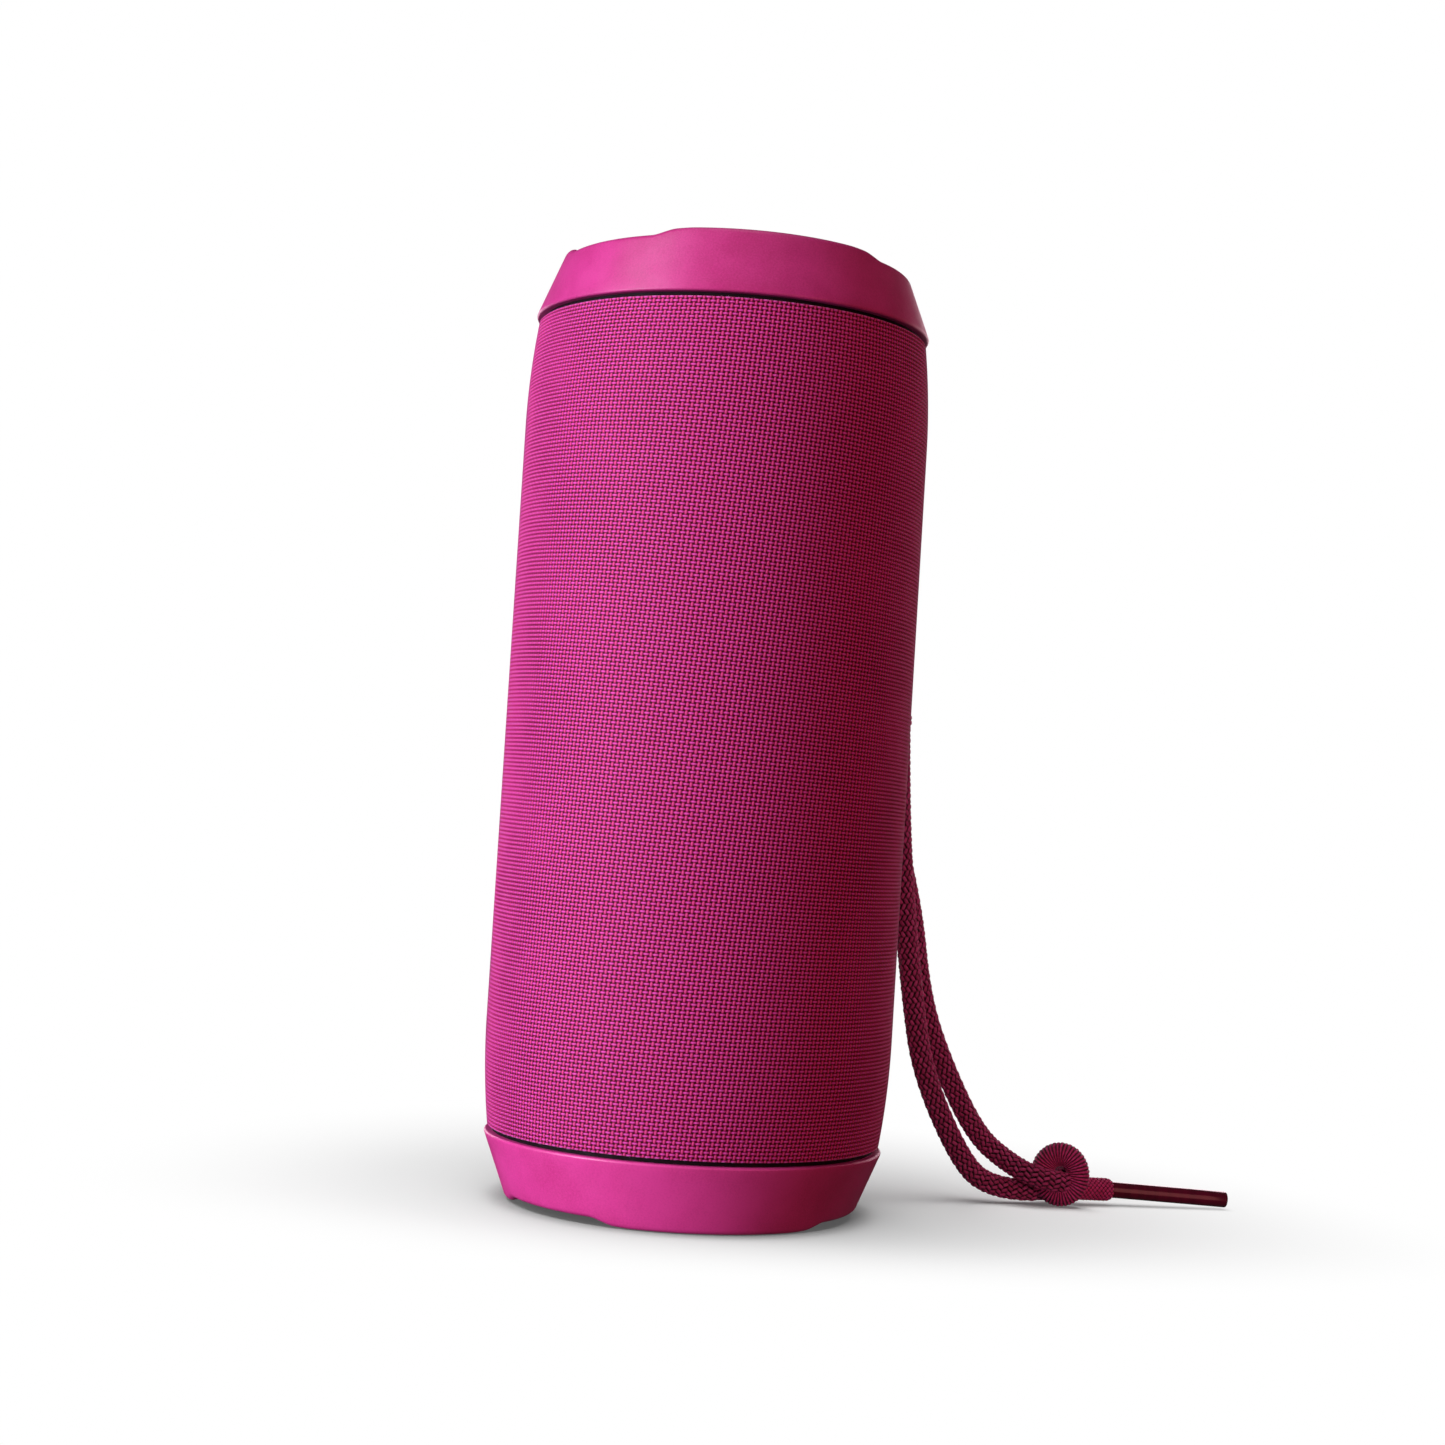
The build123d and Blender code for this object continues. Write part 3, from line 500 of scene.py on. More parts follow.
def woven_fabric():
    """Plain weave on a cylinder. The thread lattice is the one that the sleeve's mesh follows."""
    shader = Shader("sleeve_weave")
    x, y, z = shader.split(shader.place())
    turn = shader.math("ARCTAN2", x, shader.math("MULTIPLY", y, -1.0))
    rise = shader.math("SUBTRACT", shader.math("DIVIDE", z, MM), WOVEN_LOW)
    part = shader.math("DIVIDE", rise, WOVEN_H)
    window = shader.math("MULTIPLY", part, shader.math("SINE", shader.math("MULTIPLY", part, pi)))
    dip = shader.math("MULTIPLY", window, shader.math("SINE", shader.math("SUBTRACT", turn, DIP_FACES)))
    rise = shader.math("MULTIPLY_ADD", dip, WEFT_DIP, rise)
    row = shader.math("DIVIDE", rise, WEFT_PITCH)
    lean = shader.math("MULTIPLY", shader.math("SUBTRACT", rise, WOVEN_H / 2), WARP_LEAN)
    column = shader.math("MULTIPLY", turn, FABRIC_R)
    column = shader.math("DIVIDE", shader.math("SUBTRACT", column, lean), WARP_PITCH)
    # threads wander a little from their places
    column = shader.math("ADD", column, shader.math("MULTIPLY_ADD", shader.noise(70.0, 2.0), 0.3, -0.15))
    row = shader.math("ADD", row, shader.math("MULTIPLY_ADD", shader.noise(50.0, 2.0), 0.3, -0.15))

    def across(position):
        """Round thread profile: 1 on the thread's middle line, 0 outside it."""
        nearest = shader.math("ROUND", position)
        offset = shader.math("DIVIDE", shader.math("SUBTRACT", position, nearest), THREAD_HALF)
        inside = shader.math("SUBTRACT", 1.0, shader.math("POWER", shader.math("ABSOLUTE", offset), 2.0))
        return shader.math("SQRT", shader.math("MAXIMUM", inside, 0.0))

    over = shader.math(
        "MULTIPLY",
        shader.math("COSINE", shader.math("MULTIPLY", column, pi)),
        shader.math("COSINE", shader.math("MULTIPLY", row, pi)),
    )
    round_weft = shader.math("MULTIPLY", across(row), ROUND_SHARE)
    round_warp = shader.math("MULTIPLY", across(column), ROUND_SHARE)
    weft = shader.math("MULTIPLY_ADD", over, OVER_SHARE, round_weft)
    warp = shader.math("MULTIPLY_ADD", over, -OVER_SHARE, round_warp)
    height = shader.math("MAXIMUM", weft, warp)
    weft_on_top = shader.spread(shader.math("SUBTRACT", weft, warp), -0.08, 0.08)
    # fibres: short streaks along each thread
    fibres = shader.noise(1.0, 3.0, 0.7, shader.stretched((5200.0, 5200.0, 5200.0)))
    patch = shader.noise(420.0, 2.0)
    tint = shader.math("MULTIPLY_ADD", fibres, 0.3, shader.math("MULTIPLY", patch, 0.2))
    # painted shade: each thread is lighter on its crown and darker where it dips, on top of its fibre and patch
    # tone
    tint = shader.math("MULTIPLY_ADD", shader.spread(height, 0.4, 1.0), 0.5, tint)
    tint = shader.spread(tint, 0.2, 0.75)
    weft_colour = shader.blend(tint, WEFT_DARK, WEFT_LIGHT)
    warp_colour = shader.blend(tint, WARP_DARK, WARP_LIGHT)
    thread = shader.blend(weft_on_top, warp_colour, weft_colour)
    # the threads are sealed together along the cut edges at the control strip
    beside = shader.spread(shader.math("DIVIDE", shader.math("ABSOLUTE", x), MM), *SEALED_EDGE)
    control_side = shader.math("GREATER_THAN", y, 0.0)
    sealed = shader.math("MULTIPLY", control_side, shader.math("SUBTRACT", 1.0, beside))
    height = shader.math("MAXIMUM", height, shader.math("MULTIPLY", sealed, 0.75))
    # painted shade: the lower the weave lies, the more its colour turns to the dark hole colour
    unshaded_share = shader.spread(height, 0.2, 0.6)
    colour = shader.blend(unshaded_share, HOLE_SHADE, thread)
    relief = shader.math("MULTIPLY_ADD", fibres, 0.12, height)
    rough = shader.spread(fibres, 0.3, 0.7, 0.5, 0.72)
    return shader.finish(
        colour,
        rough,
        shader.bump(relief, 0.16, 0.8),
        Sheen_Weight=0.9,
        Sheen_Roughness=0.24,
        Sheen_Tint=rgba((255, 185, 220)),
        Specular_IOR_Level=0.2,
    )


def braided_yarn(name, light, dark, gap_shade):
    """Filament yarn: painted shade by how high the yarn rides, down to a dark gap colour between yarns, with
    fine filament streaks.
    """
    shader = Shader(name)
    run = shader.attribute("run")
    shade_lift = shader.attribute("shade_lift")
    tone = shader.attribute("tone")
    filament = shader.math("SINE", shader.math("MULTIPLY", run, 21.0))
    fine = shader.noise(5200.0, 2.0, 0.6)
    tint = shader.math("MULTIPLY_ADD", filament, 0.16, shader.math("MULTIPLY_ADD", tone, 0.35, 0.12))
    tint = shader.math("MULTIPLY_ADD", fine, 0.45, tint, clamp=True)
    # painted shade: the lower a yarn lies, the more it turns to the dark gap colour
    colour = shader.blend(shader.spread(shade_lift, 0.42, 0.96), gap_shade, shader.blend(tint, dark, light))
    height = shader.math("MULTIPLY_ADD", filament, 0.5, fine)
    return shader.finish(
        colour,
        shader.spread(fine, 0.3, 0.7, 0.45, 0.65),
        shader.bump(height, 0.05),
        Sheen_Weight=0.35,
        Sheen_Roughness=0.4,
        Sheen_Tint=rgba((240, 130, 180)),
        Specular_IOR_Level=0.4,
    )


def rod_lacquer():
    """Glossy coated rod with faint lengthwise streaks."""
    shader = Shader("rod_gloss")
    way = (ROD_TO - COLLAR_TO).normalized()
    across = way.to_track_quat("Z", "Y").to_matrix().to_euler()
    turned = shader.node(
        "ShaderNodeMapping",
        {"Vector": shader.place(), "Rotation": tuple(-a for a in across), "Scale": (900.0, 900.0, 20.0)},
    ).outputs["Vector"]
    streaks = shader.noise(1.0, 3.0, 0.6, turned)
    colour = shader.blend(shader.spread(streaks, 0.3, 0.7), (96, 4, 38), (112, 6, 46))
    rough = shader.spread(shader.noise(700.0, 3.0), 0.3, 0.7, 0.16, 0.26)
    return shader.finish(colour, rough, shader.bump(streaks, 0.004), Coat_Weight=0.5, Coat_Roughness=0.15)


MATERIALS = {
    "cap_plastic": moulded(
        "cap_satin", CAP_LIGHT, CAP_DARK, (0.36, 0.46), 45.0, 2900.0, 0.035, Specular_IOR_Level=0.6
    ),
    "seal_rubber": moulded("seal_dark", (26, 6, 15), (14, 2, 8), (0.65, 0.85), Specular_IOR_Level=0.2),
    "sleeve_fabric": woven_fabric(),
    "grille_plastic": moulded("grille_moulded", (60, 12, 34), (42, 8, 24), (0.5, 0.65)),
    "chassis_plastic": moulded("chassis_moulded", (44, 42, 46), (30, 29, 32), (0.45, 0.6)),
    "strip_rubber": moulded("strip_satin", (172, 34, 98), (152, 28, 84), (0.5, 0.66), 70.0, 5200.0, 0.016),
    "button_rubber": moulded(
        "button_satin", (192, 42, 114), (172, 34, 98), (0.46, 0.6), 120.0, 6000.0, 0.012
    ),
    "steel": brushed("bright_steel", (196, 198, 202), (150, 152, 158)),
    # the last colour of each braid is painted shade in the gaps between its yarns
    "strap_cord": braided_yarn("strap_braid", (255, 96, 176), (150, 24, 78), (8, 0, 5)),
    "strap_knot": braided_yarn("knot_braid", (255, 84, 172), (240, 52, 132), (72, 6, 36)),
    "strap_collar": braided_yarn("collar_braid", (255, 84, 166), (228, 50, 124), (80, 8, 38)),
    "strap_rod": rod_lacquer(),
    "battery_wrap": moulded("battery_film", (34, 96, 170), (26, 80, 150), (0.3, 0.42), 30.0, 900.0, 0.01),
    "circuit_board": moulded("board_green", (26, 84, 52), (16, 62, 38), (0.35, 0.5), 300.0, 2200.0, 0.02),
    "chip_plastic": moulded("chip_black", (36, 36, 38), (20, 20, 22), (0.45, 0.6)),
    "port_metal": brushed("port_nickel", (206, 204, 198), (164, 162, 156)),
    "light_pipe": moulded(
        "light_lens", (246, 238, 240), (226, 214, 218), (0.2, 0.32), 200.0, 3000.0, 0.006,
        Transmission_Weight=0.35,
    ),
    "surround_rubber": moulded("surround_black", (38, 34, 37), (22, 19, 21), (0.5, 0.66), 90.0, 3600.0, 0.02),
    "radiator_plate": moulded("plate_satin", (150, 26, 82), (132, 20, 70), (0.34, 0.46), 60.0, 4800.0, 0.01),
    "painted_steel": moulded(
        "basket_black", (48, 48, 50), (32, 32, 34), (0.35, 0.5), 80.0, 2600.0, 0.02, Metallic=0.5
    ),
    "magnet_steel": brushed("magnet_zinc", (150, 152, 150), (110, 112, 110), (0.3, 0.5)),
    "cone_pulp": moulded("cone_paper", (44, 42, 42), (26, 25, 25), (0.7, 0.85), 160.0, 1500.0, 0.06),
    "copper_wire": brushed("coil_copper", (206, 120, 70), (160, 84, 46), (0.25, 0.4), (600.0, 6000.0, 600.0)),
}


# ---------------------------------------------------------------- strap
def ride_as(piece, node):
    """Piece of the fixed housing that stands for a CAD node."""
    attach(piece, "housing")
    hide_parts(node)
    return piece


def knot_point(side, front, up):
    """Point near the knot's centre, in metres, from millimetres to its side, front and top."""
    return (KNOT_CENTRE + side * KNOT_SIDE + front * KNOT_FRONT + Vector((0, 0, up))) * MM


def build_hitch():
    """The strap's fold goes round the bar and across in front of both strands."""
    loop = HITCH + [(-x, y, z) for x, y, z in reversed(HITCH[:-1])]
    line = centreline("hitch", loop)
    hitch = braid(
        "strap_hitch_loop", line, HITCH_R, half=8, lay=12.0, yarn=(0.36, 0.27), material=MATERIALS["strap_cord"]
    )
    return ride_as(hitch, "strap_hitch")


def build_knot():
    """One upright turn of ribbed cord, and the tail of braid that comes out under it."""
    points_per_rib = 8
    turns = np.linspace(0, 2 * pi, points_per_rib * KNOT_RIBS, endpoint=False)
    ring = np.array([
        knot_point(
            KNOT_RING[0] * cos(KNOT_TILT) * cos(a) + KNOT_ASIDE,
            KNOT_RING[0] * sin(KNOT_TILT) * cos(a) + KNOT_FORWARD,
            -KNOT_RING[1] * sin(a) - 0.02,
        )[:]
        for a in turns
    ])
    knot = coil("strap_knot_ring", ring, KNOT_CORD_R, KNOT_RIBS, MATERIALS["strap_knot"])
    ride_as(knot, "strap_knot")
    tail = [
        tuple(knot_point(0.4, 1.2, -1.0) / MM),
        tuple(knot_point(0.2, -1.8, -0.2) / MM),
        tuple(knot_point(1.6, -3.8, -0.4) / MM),
        tuple(knot_point(4.2, -3.2, -2.4) / MM),
        tuple(knot_point(5.8, -1.2, -3.7) / MM),
    ]
    line = centreline("tail", tail)
    under = braid(
        "strap_knot_tail", line, TAIL_R, half=10, lay=14.0, yarn=(0.36, 0.3), material=MATERIALS["strap_cord"]
    )
    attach(under, "housing")
    return knot, under


def build_collar():
    """A short woven sleeve with a rounded end."""
    way = (COLLAR_TO - COLLAR_FROM).normalized()
    start = COLLAR_FROM - 1.6 * way
    finish = COLLAR_TO + 0.1 * way
    count = 48
    line = np.array([(start.lerp(finish, i / (count - 1)) * MM)[:] for i in range(count)])
    left = (finish - start).length * (1 - np.arange(count) / (count - 1))
    shrink = np.sqrt(np.clip(1 - (1 - np.clip(left / COLLAR_ROUNDING, 0, 1)) ** 2, 0, 1))
    radii = COLLAR_END_R + (COLLAR_R - COLLAR_END_R) * shrink
    collar = braid(
        "strap_collar_weave",
        line,
        radii,
        half=13,
        lay=12.0,
        yarn=(0.3, 0.22),
        material=MATERIALS["strap_collar"],
    )
    return ride_as(collar, "strap_collar")


def build_rod():
    """Square cut, with its edges just broken."""
    way = (ROD_TO - COLLAR_TO).normalized()
    rod_start = COLLAR_TO - 1.0 * way
    length = (ROD_TO - rod_start).length
    # pairs of radius and distance along the rod, from inside the collar to the tip's shallow dimple
    section = [
        (0.0, 0.0),
        (1.3, 0.0),
        (ROD_R, 0.2),
        (ROD_R, length * 0.25),
        (ROD_R, length * 0.5),
        (ROD_R, length * 0.75),
        (ROD_R, length - 0.16),
        (ROD_R - 0.05, length - 0.05),
        (ROD_R - 0.16, length),
        (0.55, length),
        (0.45, length - 0.12),
        (0.0, length - 0.15),
    ]
    turn = way.to_track_quat("Z", "Y").to_matrix()
    sides = 64
    verts = []
    for r, s in section:
        for k in range(sides):
            a = 2 * pi * k / sides
            verts.append((rod_start + turn @ Vector((r * cos(a), r * sin(a), s))) * MM)
    faces = grid_faces(len(section), sides, wrap_cols=True).tolist()
    rod = new_object("strap_rod_tip", verts, faces, MATERIALS["strap_rod"], sharp=35)
    return ride_as(rod, "strap_rod")


def build_strap():
    hitch = build_hitch()
    knot, under = build_knot()
    collar = build_collar()
    rod = build_rod()
    for name, points, node, length, with_pieces in (
        ("strap_cord_a", STRAND_A, "strap_strand_a", 0.112, [hitch]),
        ("strap_cord_b", STRAND_B, "strap_strand_b", 0.106, [knot, under, collar, rod]),
    ):
        line = centreline(name + "_route", points)
        strand = braid(
            name, line, BRAID_R, half=11, lay=24.0, yarn=(0.36, 0.29), material=MATERIALS["strap_cord"]
        )
        ride_as(strand, node)


build_strap()


# ---------------------------------------------------------------- fabric sleeve
def sleeve_radius(z):
    """Outer radius of the fabric at a height, in millimetres."""
    depth = np.maximum(0.0, np.maximum(SLEEVE_LOW + FABRIC_BLEND_H - z, z - SLEEVE_HIGH + FABRIC_BLEND_H))
    drop = FABRIC_R - FABRIC_END_R
    arc_r = (FABRIC_BLEND_H**2 + drop**2) / (2 * drop)
    return FABRIC_R - (arc_r - np.sqrt(arc_r**2 - np.minimum(depth, FABRIC_BLEND_H) ** 2))


def woven_height(nominal, angle):
    """Height of a weft row at an angle, from its undipped height above the first row."""
    rise = nominal + 0 * angle
    # the dip depends on the height itself, so it is found by repeating
    for _ in range(12):
        part = rise / WOVEN_H
        rise = nominal - WEFT_DIP * part * np.sin(pi * part) * np.sin(angle - DIP_FACES)
    return rise


def ring_points(radius, angle, height):
    """Points round the tube. The angle is 0 on the driver side."""
    return np.stack([radius * np.sin(angle), -radius * np.cos(angle), height], -1)


def build_sleeve():
    """Woven skin: a raised point on every thread crossing and a sunk one in every hole."""
    verts, faces = [], []
    count = 0

    def add(points):
        nonlocal count
        verts.append(points)
        count += len(points)
        return np.arange(count - len(points), count)

    rows = []
    for j in range(WEFT_ROWS + 1):
        nominal = j * WEFT_PITCH
        shift = WARP_LEAN * (nominal - WOVEN_H / 2)
        radius = float(sleeve_radius(np.array(WOVEN_LOW + nominal)))
        edge = pi - np.arcsin(SLOT_HALF / radius)
        # the outermost thread keeps a part of a pitch from the cut edge
        reach = edge * FABRIC_R - 0.4 * WARP_PITCH
        first = int(np.ceil((-reach - shift) / WARP_PITCH))
        last = int(np.floor((reach - shift) / WARP_PITCH))
        angle = (np.arange(first, last + 1) * WARP_PITCH + shift) / FABRIC_R
        height = WOVEN_LOW + woven_height(nominal, angle)
        threads = add(ring_points(sleeve_radius(height), angle, height))
        # each side turns in at the slot
        sides = []
        for side in (-1, 1):
            inner = pi - np.arcsin(SLOT_HALF / (radius - TURN_IN))
            turns = np.array([side * (edge - 0.004), side * inner])
            level = WOVEN_LOW + woven_height(nominal, turns)
            outer = sleeve_radius(level) - np.array([0.1, TURN_IN])
            sides.append(add(ring_points(outer, turns, level)))
        rows.append((first, threads, sides))

    cells = []
    for (first, threads, sides), (first_up, threads_up, sides_up) in zip(rows, rows[1:]):
        start = max(first, first_up)
        stop = min(first + len(threads), first_up + len(threads_up))
        low = threads[start - first:stop - first]
        up = threads_up[start - first_up:stop - first_up]
        cells.append(np.stack([low[:-1], low[1:], up[1:], up[:-1]], -1))
        left = [sides[0][0], *threads[:start - first + 1]]
        left += [*threads_up[:start - first_up + 1][::-1], sides_up[0][0]]
        right = [*threads[stop - first - 1:], sides[1][0]]
        right += [sides_up[1][0], *threads_up[stop - first_up - 1:][::-1]]
        faces.extend([left, right])
        faces.append([sides[0][1], sides[0][0], sides_up[0][0], sides_up[0][1]])
        faces.append([sides[1][0], sides[1][1], sides_up[1][1], sides_up[1][0]])
    cells = np.concatenate(cells)
    grid = np.concatenate(verts)
    middles = grid[cells].mean(axis=1)
    flat = np.linalg.norm(middles[:, :2], axis=1)
    middles[:, :2] *= ((flat - HOLE_DEPTH) / flat)[:, None]
    centre = add(middles)
    triangles = [np.stack([cells[:, k], cells[:, (k + 1) % 4], centre], -1) for k in range(4)]
    faces.extend(np.concatenate(triangles).tolist())
    # the hems tuck in towards the seals
    for (_, threads, sides), outward in ((rows[0], -1), (rows[-1], 1)):
        line = np.concatenate([sides[0][::-1], threads, sides[1]])
        points = np.concatenate(verts)[line]
        previous = line
        for drop, sink in ((0.18, 0.2), (HEM - 0.02, 0.8)):
            tucked = points.copy()
            radii = np.linalg.norm(points[:, :2], axis=1)
            tucked[:, :2] *= ((radii - sink) / radii)[:, None]
            tucked[:, 2] += outward * drop
            current = add(tucked)
            strip = np.stack([previous[:-1], previous[1:], current[1:], current[:-1]], -1)
            faces.extend((strip if outward > 0 else strip[:, ::-1]).tolist())
            previous = current
    sleeve = new_object("fabric_skin", np.concatenate(verts) * MM, faces, MATERIALS["sleeve_fabric"])
    ride_as(sleeve, "fabric_sleeve")


build_sleeve()


# ---------------------------------------------------------------- end caps
HEIGHT = 180.0
RIM_R = 38.0
END_R = 33.0
CAP_H = 12.7
BORE_R = 27.2
BORE_ROUNDING = 1.0
END_ROUNDING = 1.5
RIM_ROUNDING = 0.4
SEAT_H = 5.8
SEAT_R = 34.4
CAP_STEPS = 900
NOTCH_ANGLES = (50.0, 170.0, 290.0)
# depth of a notch by the distance from its middle, and half the width that softens its ramps
NOTCH_X = (0.0, 11.3, 14.6, 17.56, 60.0)
NOTCH_CUT = (1.3, 1.3, 0.2, 0.0, 0.0)
NOTCH_SOFT = 0.7


def notch_cut(angle, radius):
    """How far in the end face lies at a point, in millimetres."""
    cut = np.zeros_like(angle)
    for middle in NOTCH_ANGLES:
        turn = angle - radians(middle)
        x = np.abs(radius * np.sin(turn))
        shifts = np.linspace(-NOTCH_SOFT, NOTCH_SOFT, 9)
        local = np.mean([np.interp(x + shift, NOTCH_X, NOTCH_CUT) for shift in shifts], axis=0)
        cut = np.maximum(cut, np.where(np.cos(turn) > 0, local, 0.0))
    return cut


def build_cap(end):
    """Ring turned about the tube's axis. Its profile runs from the bore over the end face to the
    rim and back to the seat, as pairs of radius and height in from the end."""
    count = CAP_STEPS
    angle = np.arange(count) * 2 * pi / count
    slope = (RIM_R - END_R) / CAP_H
    lean = np.arctan2(CAP_H, RIM_R - END_R)
    inner_cut = notch_cut(angle, BORE_R + BORE_ROUNDING)
    outer_cut = notch_cut(angle, END_R)

    profile = [(np.full(count, BORE_R), np.full(count, SEAT_H))]
    for a in np.linspace(0, pi / 2, 6):
        profile.append((
            BORE_R + BORE_ROUNDING - BORE_ROUNDING * cos(a) + 0 * angle,
            inner_cut + BORE_ROUNDING - BORE_ROUNDING * np.sin(a),
        ))
    for r in (28.9, 29.6, 30.3, 31.0, 31.5):
        profile.append((np.full(count, r), notch_cut(angle, r)))
    corner = END_R + slope * outer_cut - END_ROUNDING * np.tan(lean / 2)
    for a in np.linspace(-pi / 2, -pi / 2 + lean, 8):
        profile.append((
            corner + END_ROUNDING * cos(a),
            outer_cut + END_ROUNDING + END_ROUNDING * sin(a),
        ))
    start_r, start_h = profile[-1]
    edge = RIM_ROUNDING * np.tan((pi - lean) / 2)
    stop_r, stop_h = RIM_R - edge * cos(lean), CAP_H - edge * sin(lean)
    for t in np.linspace(0, 1, 9)[1:]:
        profile.append((start_r + (stop_r - start_r) * t, start_h + (stop_h - start_h) * t))
    for a in np.linspace(-pi / 2 + lean, pi / 2, 6)[1:]:
        profile.append((
            RIM_R - edge + RIM_ROUNDING * cos(a) + 0 * angle,
            CAP_H - RIM_ROUNDING + RIM_ROUNDING * sin(a) + 0 * angle,
        ))
    profile.append((np.full(count, SEAT_R), np.full(count, CAP_H)))
    profile.append((np.full(count, SEAT_R), np.full(count, SEAT_H)))

    rings = []
    for r, h in profile:
        z = h if end == "bottom" else HEIGHT - h
        rings.append(np.stack([r * np.cos(angle), r * np.sin(angle), z], -1))
    verts = np.concatenate(rings) * MM
    faces = grid_faces(len(rings), count, wrap_rows=True, wrap_cols=True, flip=end == "top")
    cap = new_object(f"{end}_cap_ring", verts, faces.tolist(), MATERIALS["cap_plastic"], sharp=50)
    ride_as(cap, f"{end}_cap")


build_cap("top")
build_cap("bottom")


# ---------------------------------------------------------------- radiator surrounds
# the roll: its crown's radius, the half width and height of its top and of its underside, and
# the radius and underside depth of the flange at each edge
CROWN_R = 23.3
ROLL = (2.05, 2.5)
ROLL_UNDER = (1.45, 2.45)
OUTER_FLANGE = (27.3, 6.8)
INNER_FLANGE = (19.4, 6.6)
FLANGE_DEPTH = 6.0
SURROUND_STEPS = 144


def build_surround(end):
    """Rolled rubber ring in two halves that meet at the crown."""
    moving = end + "_radiator"
    node = moving + "_surround"

    def level(depth):
        return (depth if end == "bottom" else HEIGHT - depth) * MM

    swing = np.radians(np.linspace(90, 0, 14))
    for half, side, (edge_r, under) in (("outer", 1, OUTER_FLANGE), ("inner", -1, INNER_FLANGE)):
        profile = [(CROWN_R + side * ROLL[0] * cos(a), FLANGE_DEPTH - ROLL[1] * sin(a)) for a in swing]
        foot = CROWN_R + side * ROLL[0]
        profile += [(foot + side * 0.06, FLANGE_DEPTH + 0.03), (edge_r - side * 0.1, FLANGE_DEPTH)]
        profile += [(edge_r, FLANGE_DEPTH + 0.1), (edge_r, under - 0.1), (edge_r - side * 0.1, under)]
        profile += [
            (CROWN_R + side * ROLL_UNDER[0] * cos(a), 0.2 * side + 6.5 - ROLL_UNDER[1] * sin(a))
            for a in swing[::-1]
        ]
        turns = np.linspace(0, 2 * pi, SURROUND_STEPS, endpoint=False)
        verts = [(r * MM * cos(a), r * MM * sin(a), level(depth)) for r, depth in profile for a in turns]
        outward = (side > 0) == (end == "bottom")
        faces = grid_faces(len(profile), len(turns), wrap_rows=True, wrap_cols=True, flip=outward)
        piece = new_object(node + "_" + half, verts, faces.tolist(), MATERIALS["surround_rubber"], sharp=40)
        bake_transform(piece)
        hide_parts(node)


build_surround("top")
build_surround("bottom")


# ---------------------------------------------------------------- materials of the CAD nodes
for name, node in nodes.items():
    for holder in node.material_slots:
        if holder.material is not None and holder.material.name in MATERIALS:
            holder.material = MATERIALS[holder.material.name]


# ---------------------------------------------------------------- stage and light
ROOM_LIGHT = 0.03
KEY_COLOUR = (0.95, 0.96, 1.12)
NO_BOUNCE = ("fabric_skin", "top_cap_ring", "bottom_cap_ring")
WHITE = (1, 1, 1, 1)
FLOOR_HALF = 3.0
# the floor turns plain white between these distances from the object's axis, each scaled by way
SHADOW_REACH = (0.052, 0.115)


def stage_floor():
    """White floor under the object, and plain backdrop white past its shadow."""
    shader = Shader("stage_white")
    tone = shader.noise(3.0, 2.0)
    colour = shader.blend(tone, (244, 244, 244), (250, 250, 250))
    x, y, _ = shader.split(shader.place())

    def distance(direction, one_way, other_way):
        """Distance along a direction on the floor, scaled by its own factor each way."""
        run = shader.math("MULTIPLY_ADD", x, direction[0], shader.math("MULTIPLY", y, direction[1]))
        return shader.math(
            "MAXIMUM", shader.math("MULTIPLY", run, one_way), shader.math("MULTIPLY", run, other_way)
        )

    beside = shader.math("POWER", distance(ACROSS_VIEW, 0.72, -0.95), 2.0)
    ahead = shader.math("POWER", distance(TOWARDS_VIEW, 1.6, -0.75), 2.0)
    away = shader.math("SQRT", shader.math("ADD", beside, ahead))
    glow = shader.spread(away, *SHADOW_REACH, 0.08, 1.0)
    material = shader.finish(colour, 0.75, Specular_IOR_Level=0.2)
    emission = shader.node("ShaderNodeEmission", {"Color": WHITE, "Strength": 1.0})
    mix = shader.node("ShaderNodeMixShader", {0: glow})
    output = shader.tree.nodes["Material Output"]
    shader.tree.links.new(shader.surface.outputs[0], mix.inputs[1])
    shader.tree.links.new(emission.outputs[0], mix.inputs[2])
    shader.tree.links.new(mix.outputs[0], output.inputs["Surface"])
    corners = ((-1, -1), (1, -1), (1, 1), (-1, 1))
    verts = [(FLOOR_HALF * x_way, FLOOR_HALF * y_way, 0) for x_way, y_way in corners]
    floor = new_object("stage_floor", verts, [(0, 1, 2, 3)], material)
    # a hair below the base, so that the two faces don't coincide
    floor.location.z = -0.05 * MM
    floor.visible_diffuse = False
    floor.visible_glossy = False
    floor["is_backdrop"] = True
    return floor


def area_light(name, azimuth, elevation, distance, size, power, receivers, colour=(1, 1, 1)):
    """Soft panel that lights only its receivers. Both angles are in degrees, seen from the
    object's middle, and the azimuth runs to the right from the camera's side."""
    target = Vector((0, 0, HEIGHT / 2 * MM))
    towards_camera = atan2(CAMERA_PLACE[1], CAMERA_PLACE[0])
    angle = towards_camera + radians(azimuth)
    flat = distance * cos(radians(elevation))
    place = target + Vector((flat * cos(angle), flat * sin(angle), distance * sin(radians(elevation))))
    data = bpy.data.lights.new(name, "AREA")
    data.shape = "RECTANGLE"
    data.size, data.size_y = size
    data.energy = power
    data.color = colour
    light = bpy.data.objects.new(name, data)
    light.location = place
    light.rotation_euler = (target - place).to_track_quat("-Z", "Y").to_euler()
    light.light_linking.receiver_collection = receivers
    bpy.context.scene.collection.objects.link(light)


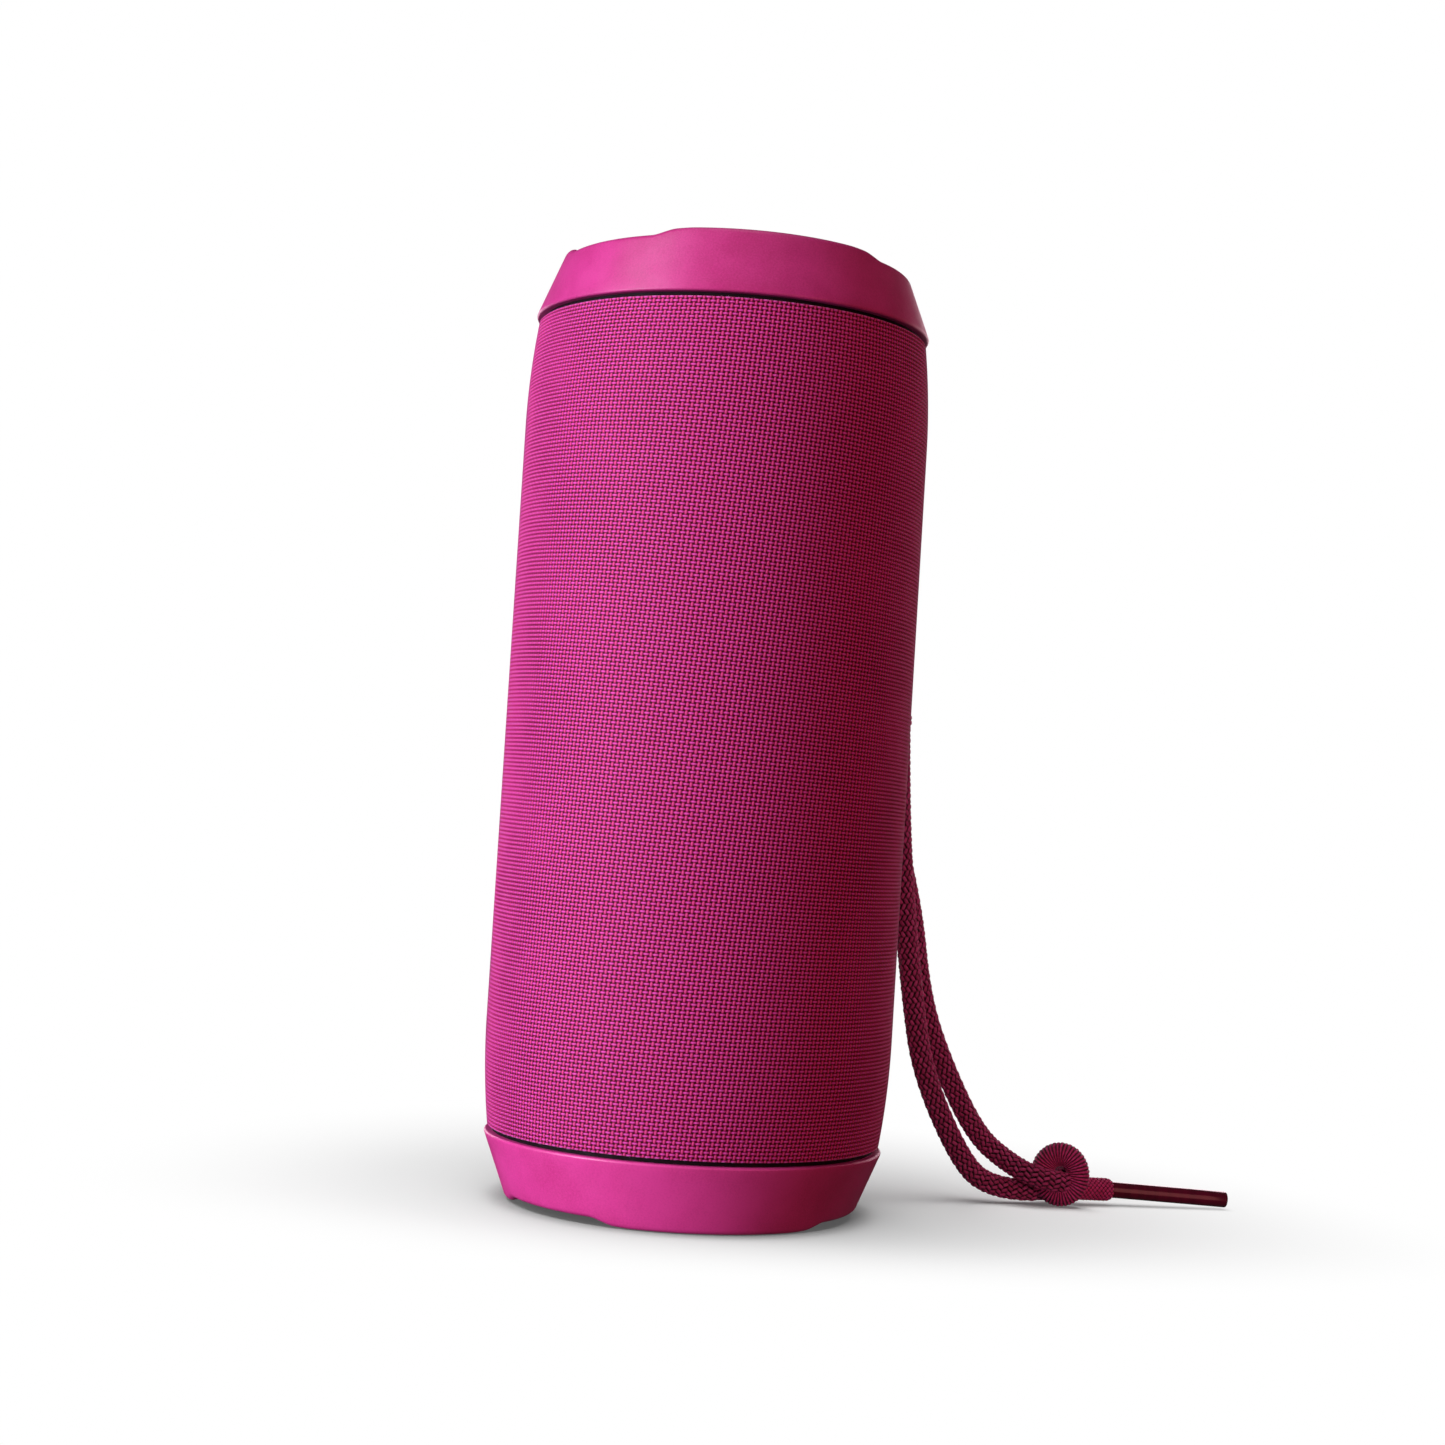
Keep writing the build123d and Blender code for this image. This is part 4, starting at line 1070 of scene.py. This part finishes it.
def add_world():
    """Plain white to the camera, and a faint even light on everything else."""
    world = bpy.data.worlds.new("studio")
    bpy.context.scene.world = world
    world.use_nodes = True
    tree = world.node_tree
    tree.nodes.clear()
    output = tree.nodes.new("ShaderNodeOutputWorld")
    mix = tree.nodes.new("ShaderNodeMixShader")
    rays = tree.nodes.new("ShaderNodeLightPath")
    room, seen = tree.nodes.new("ShaderNodeBackground"), tree.nodes.new("ShaderNodeBackground")
    room.inputs[0].default_value = WHITE
    room.inputs[1].default_value = ROOM_LIGHT
    seen.inputs[0].default_value = WHITE
    seen.inputs[1].default_value = 1.0
    tree.links.new(rays.outputs["Is Camera Ray"], mix.inputs[0])
    tree.links.new(room.outputs[0], mix.inputs[1])
    tree.links.new(seen.outputs[0], mix.inputs[2])
    tree.links.new(mix.outputs[0], output.inputs[0])


def light_scene(floor):
    """Lights the object, the bottom cap, the strap and the floor each with panels of their own."""
    product = bpy.data.collections.new("lit_product")
    stage = bpy.data.collections.new("lit_stage")
    straps = bpy.data.collections.new("lit_straps")
    low = bpy.data.collections.new("lit_low")
    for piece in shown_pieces():
        product.objects.link(piece)
        if piece.name.startswith("strap_"):
            straps.objects.link(piece)
        if piece.name == "bottom_cap_ring":
            low.objects.link(piece)
        # the photo's floor takes no colour from the object
        if piece.name in NO_BOUNCE:
            piece.visible_diffuse = False
    stage.objects.link(floor)
    area_light("key", -57, 1, 0.9, (0.45, 0.36), 8.4, product, KEY_COLOUR)
    area_light("key_high", -62, 42, 0.9, (0.35, 0.35), 2.0, product, KEY_COLOUR)
    area_light("left_rim", -150, 4, 0.8, (0.25, 0.4), 1.0, product)
    area_light("fill", 30, 5, 1.1, (1.0, 1.0), 3.5, product, (1.0, 0.3, 0.28))
    area_light("back", 150, 8, 1.0, (0.6, 0.5), 2.4, product, (1.0, 0.7, 0.78))
    area_light("low_key", -60, -3, 0.9, (0.45, 0.08), 2.4, low, KEY_COLOUR)
    area_light("top", 0, 88, 0.9, (0.5, 0.5), 0.8, product)
    area_light("strap_light", 12, 12, 0.9, (0.4, 0.4), 0.6, straps)
    area_light("floor_wash", -35, 78, 1.3, (1.5, 1.5), 26.5, stage)
    area_light("floor_key", -80, 45, 1.2, (0.6, 0.6), 1.2, stage)
    view = bpy.context.scene.view_settings
    view.view_transform = "Standard"
    view.look = "None"
    view.exposure = 0.0
    view.gamma = 1.0


add_world()
light_scene(stage_floor())
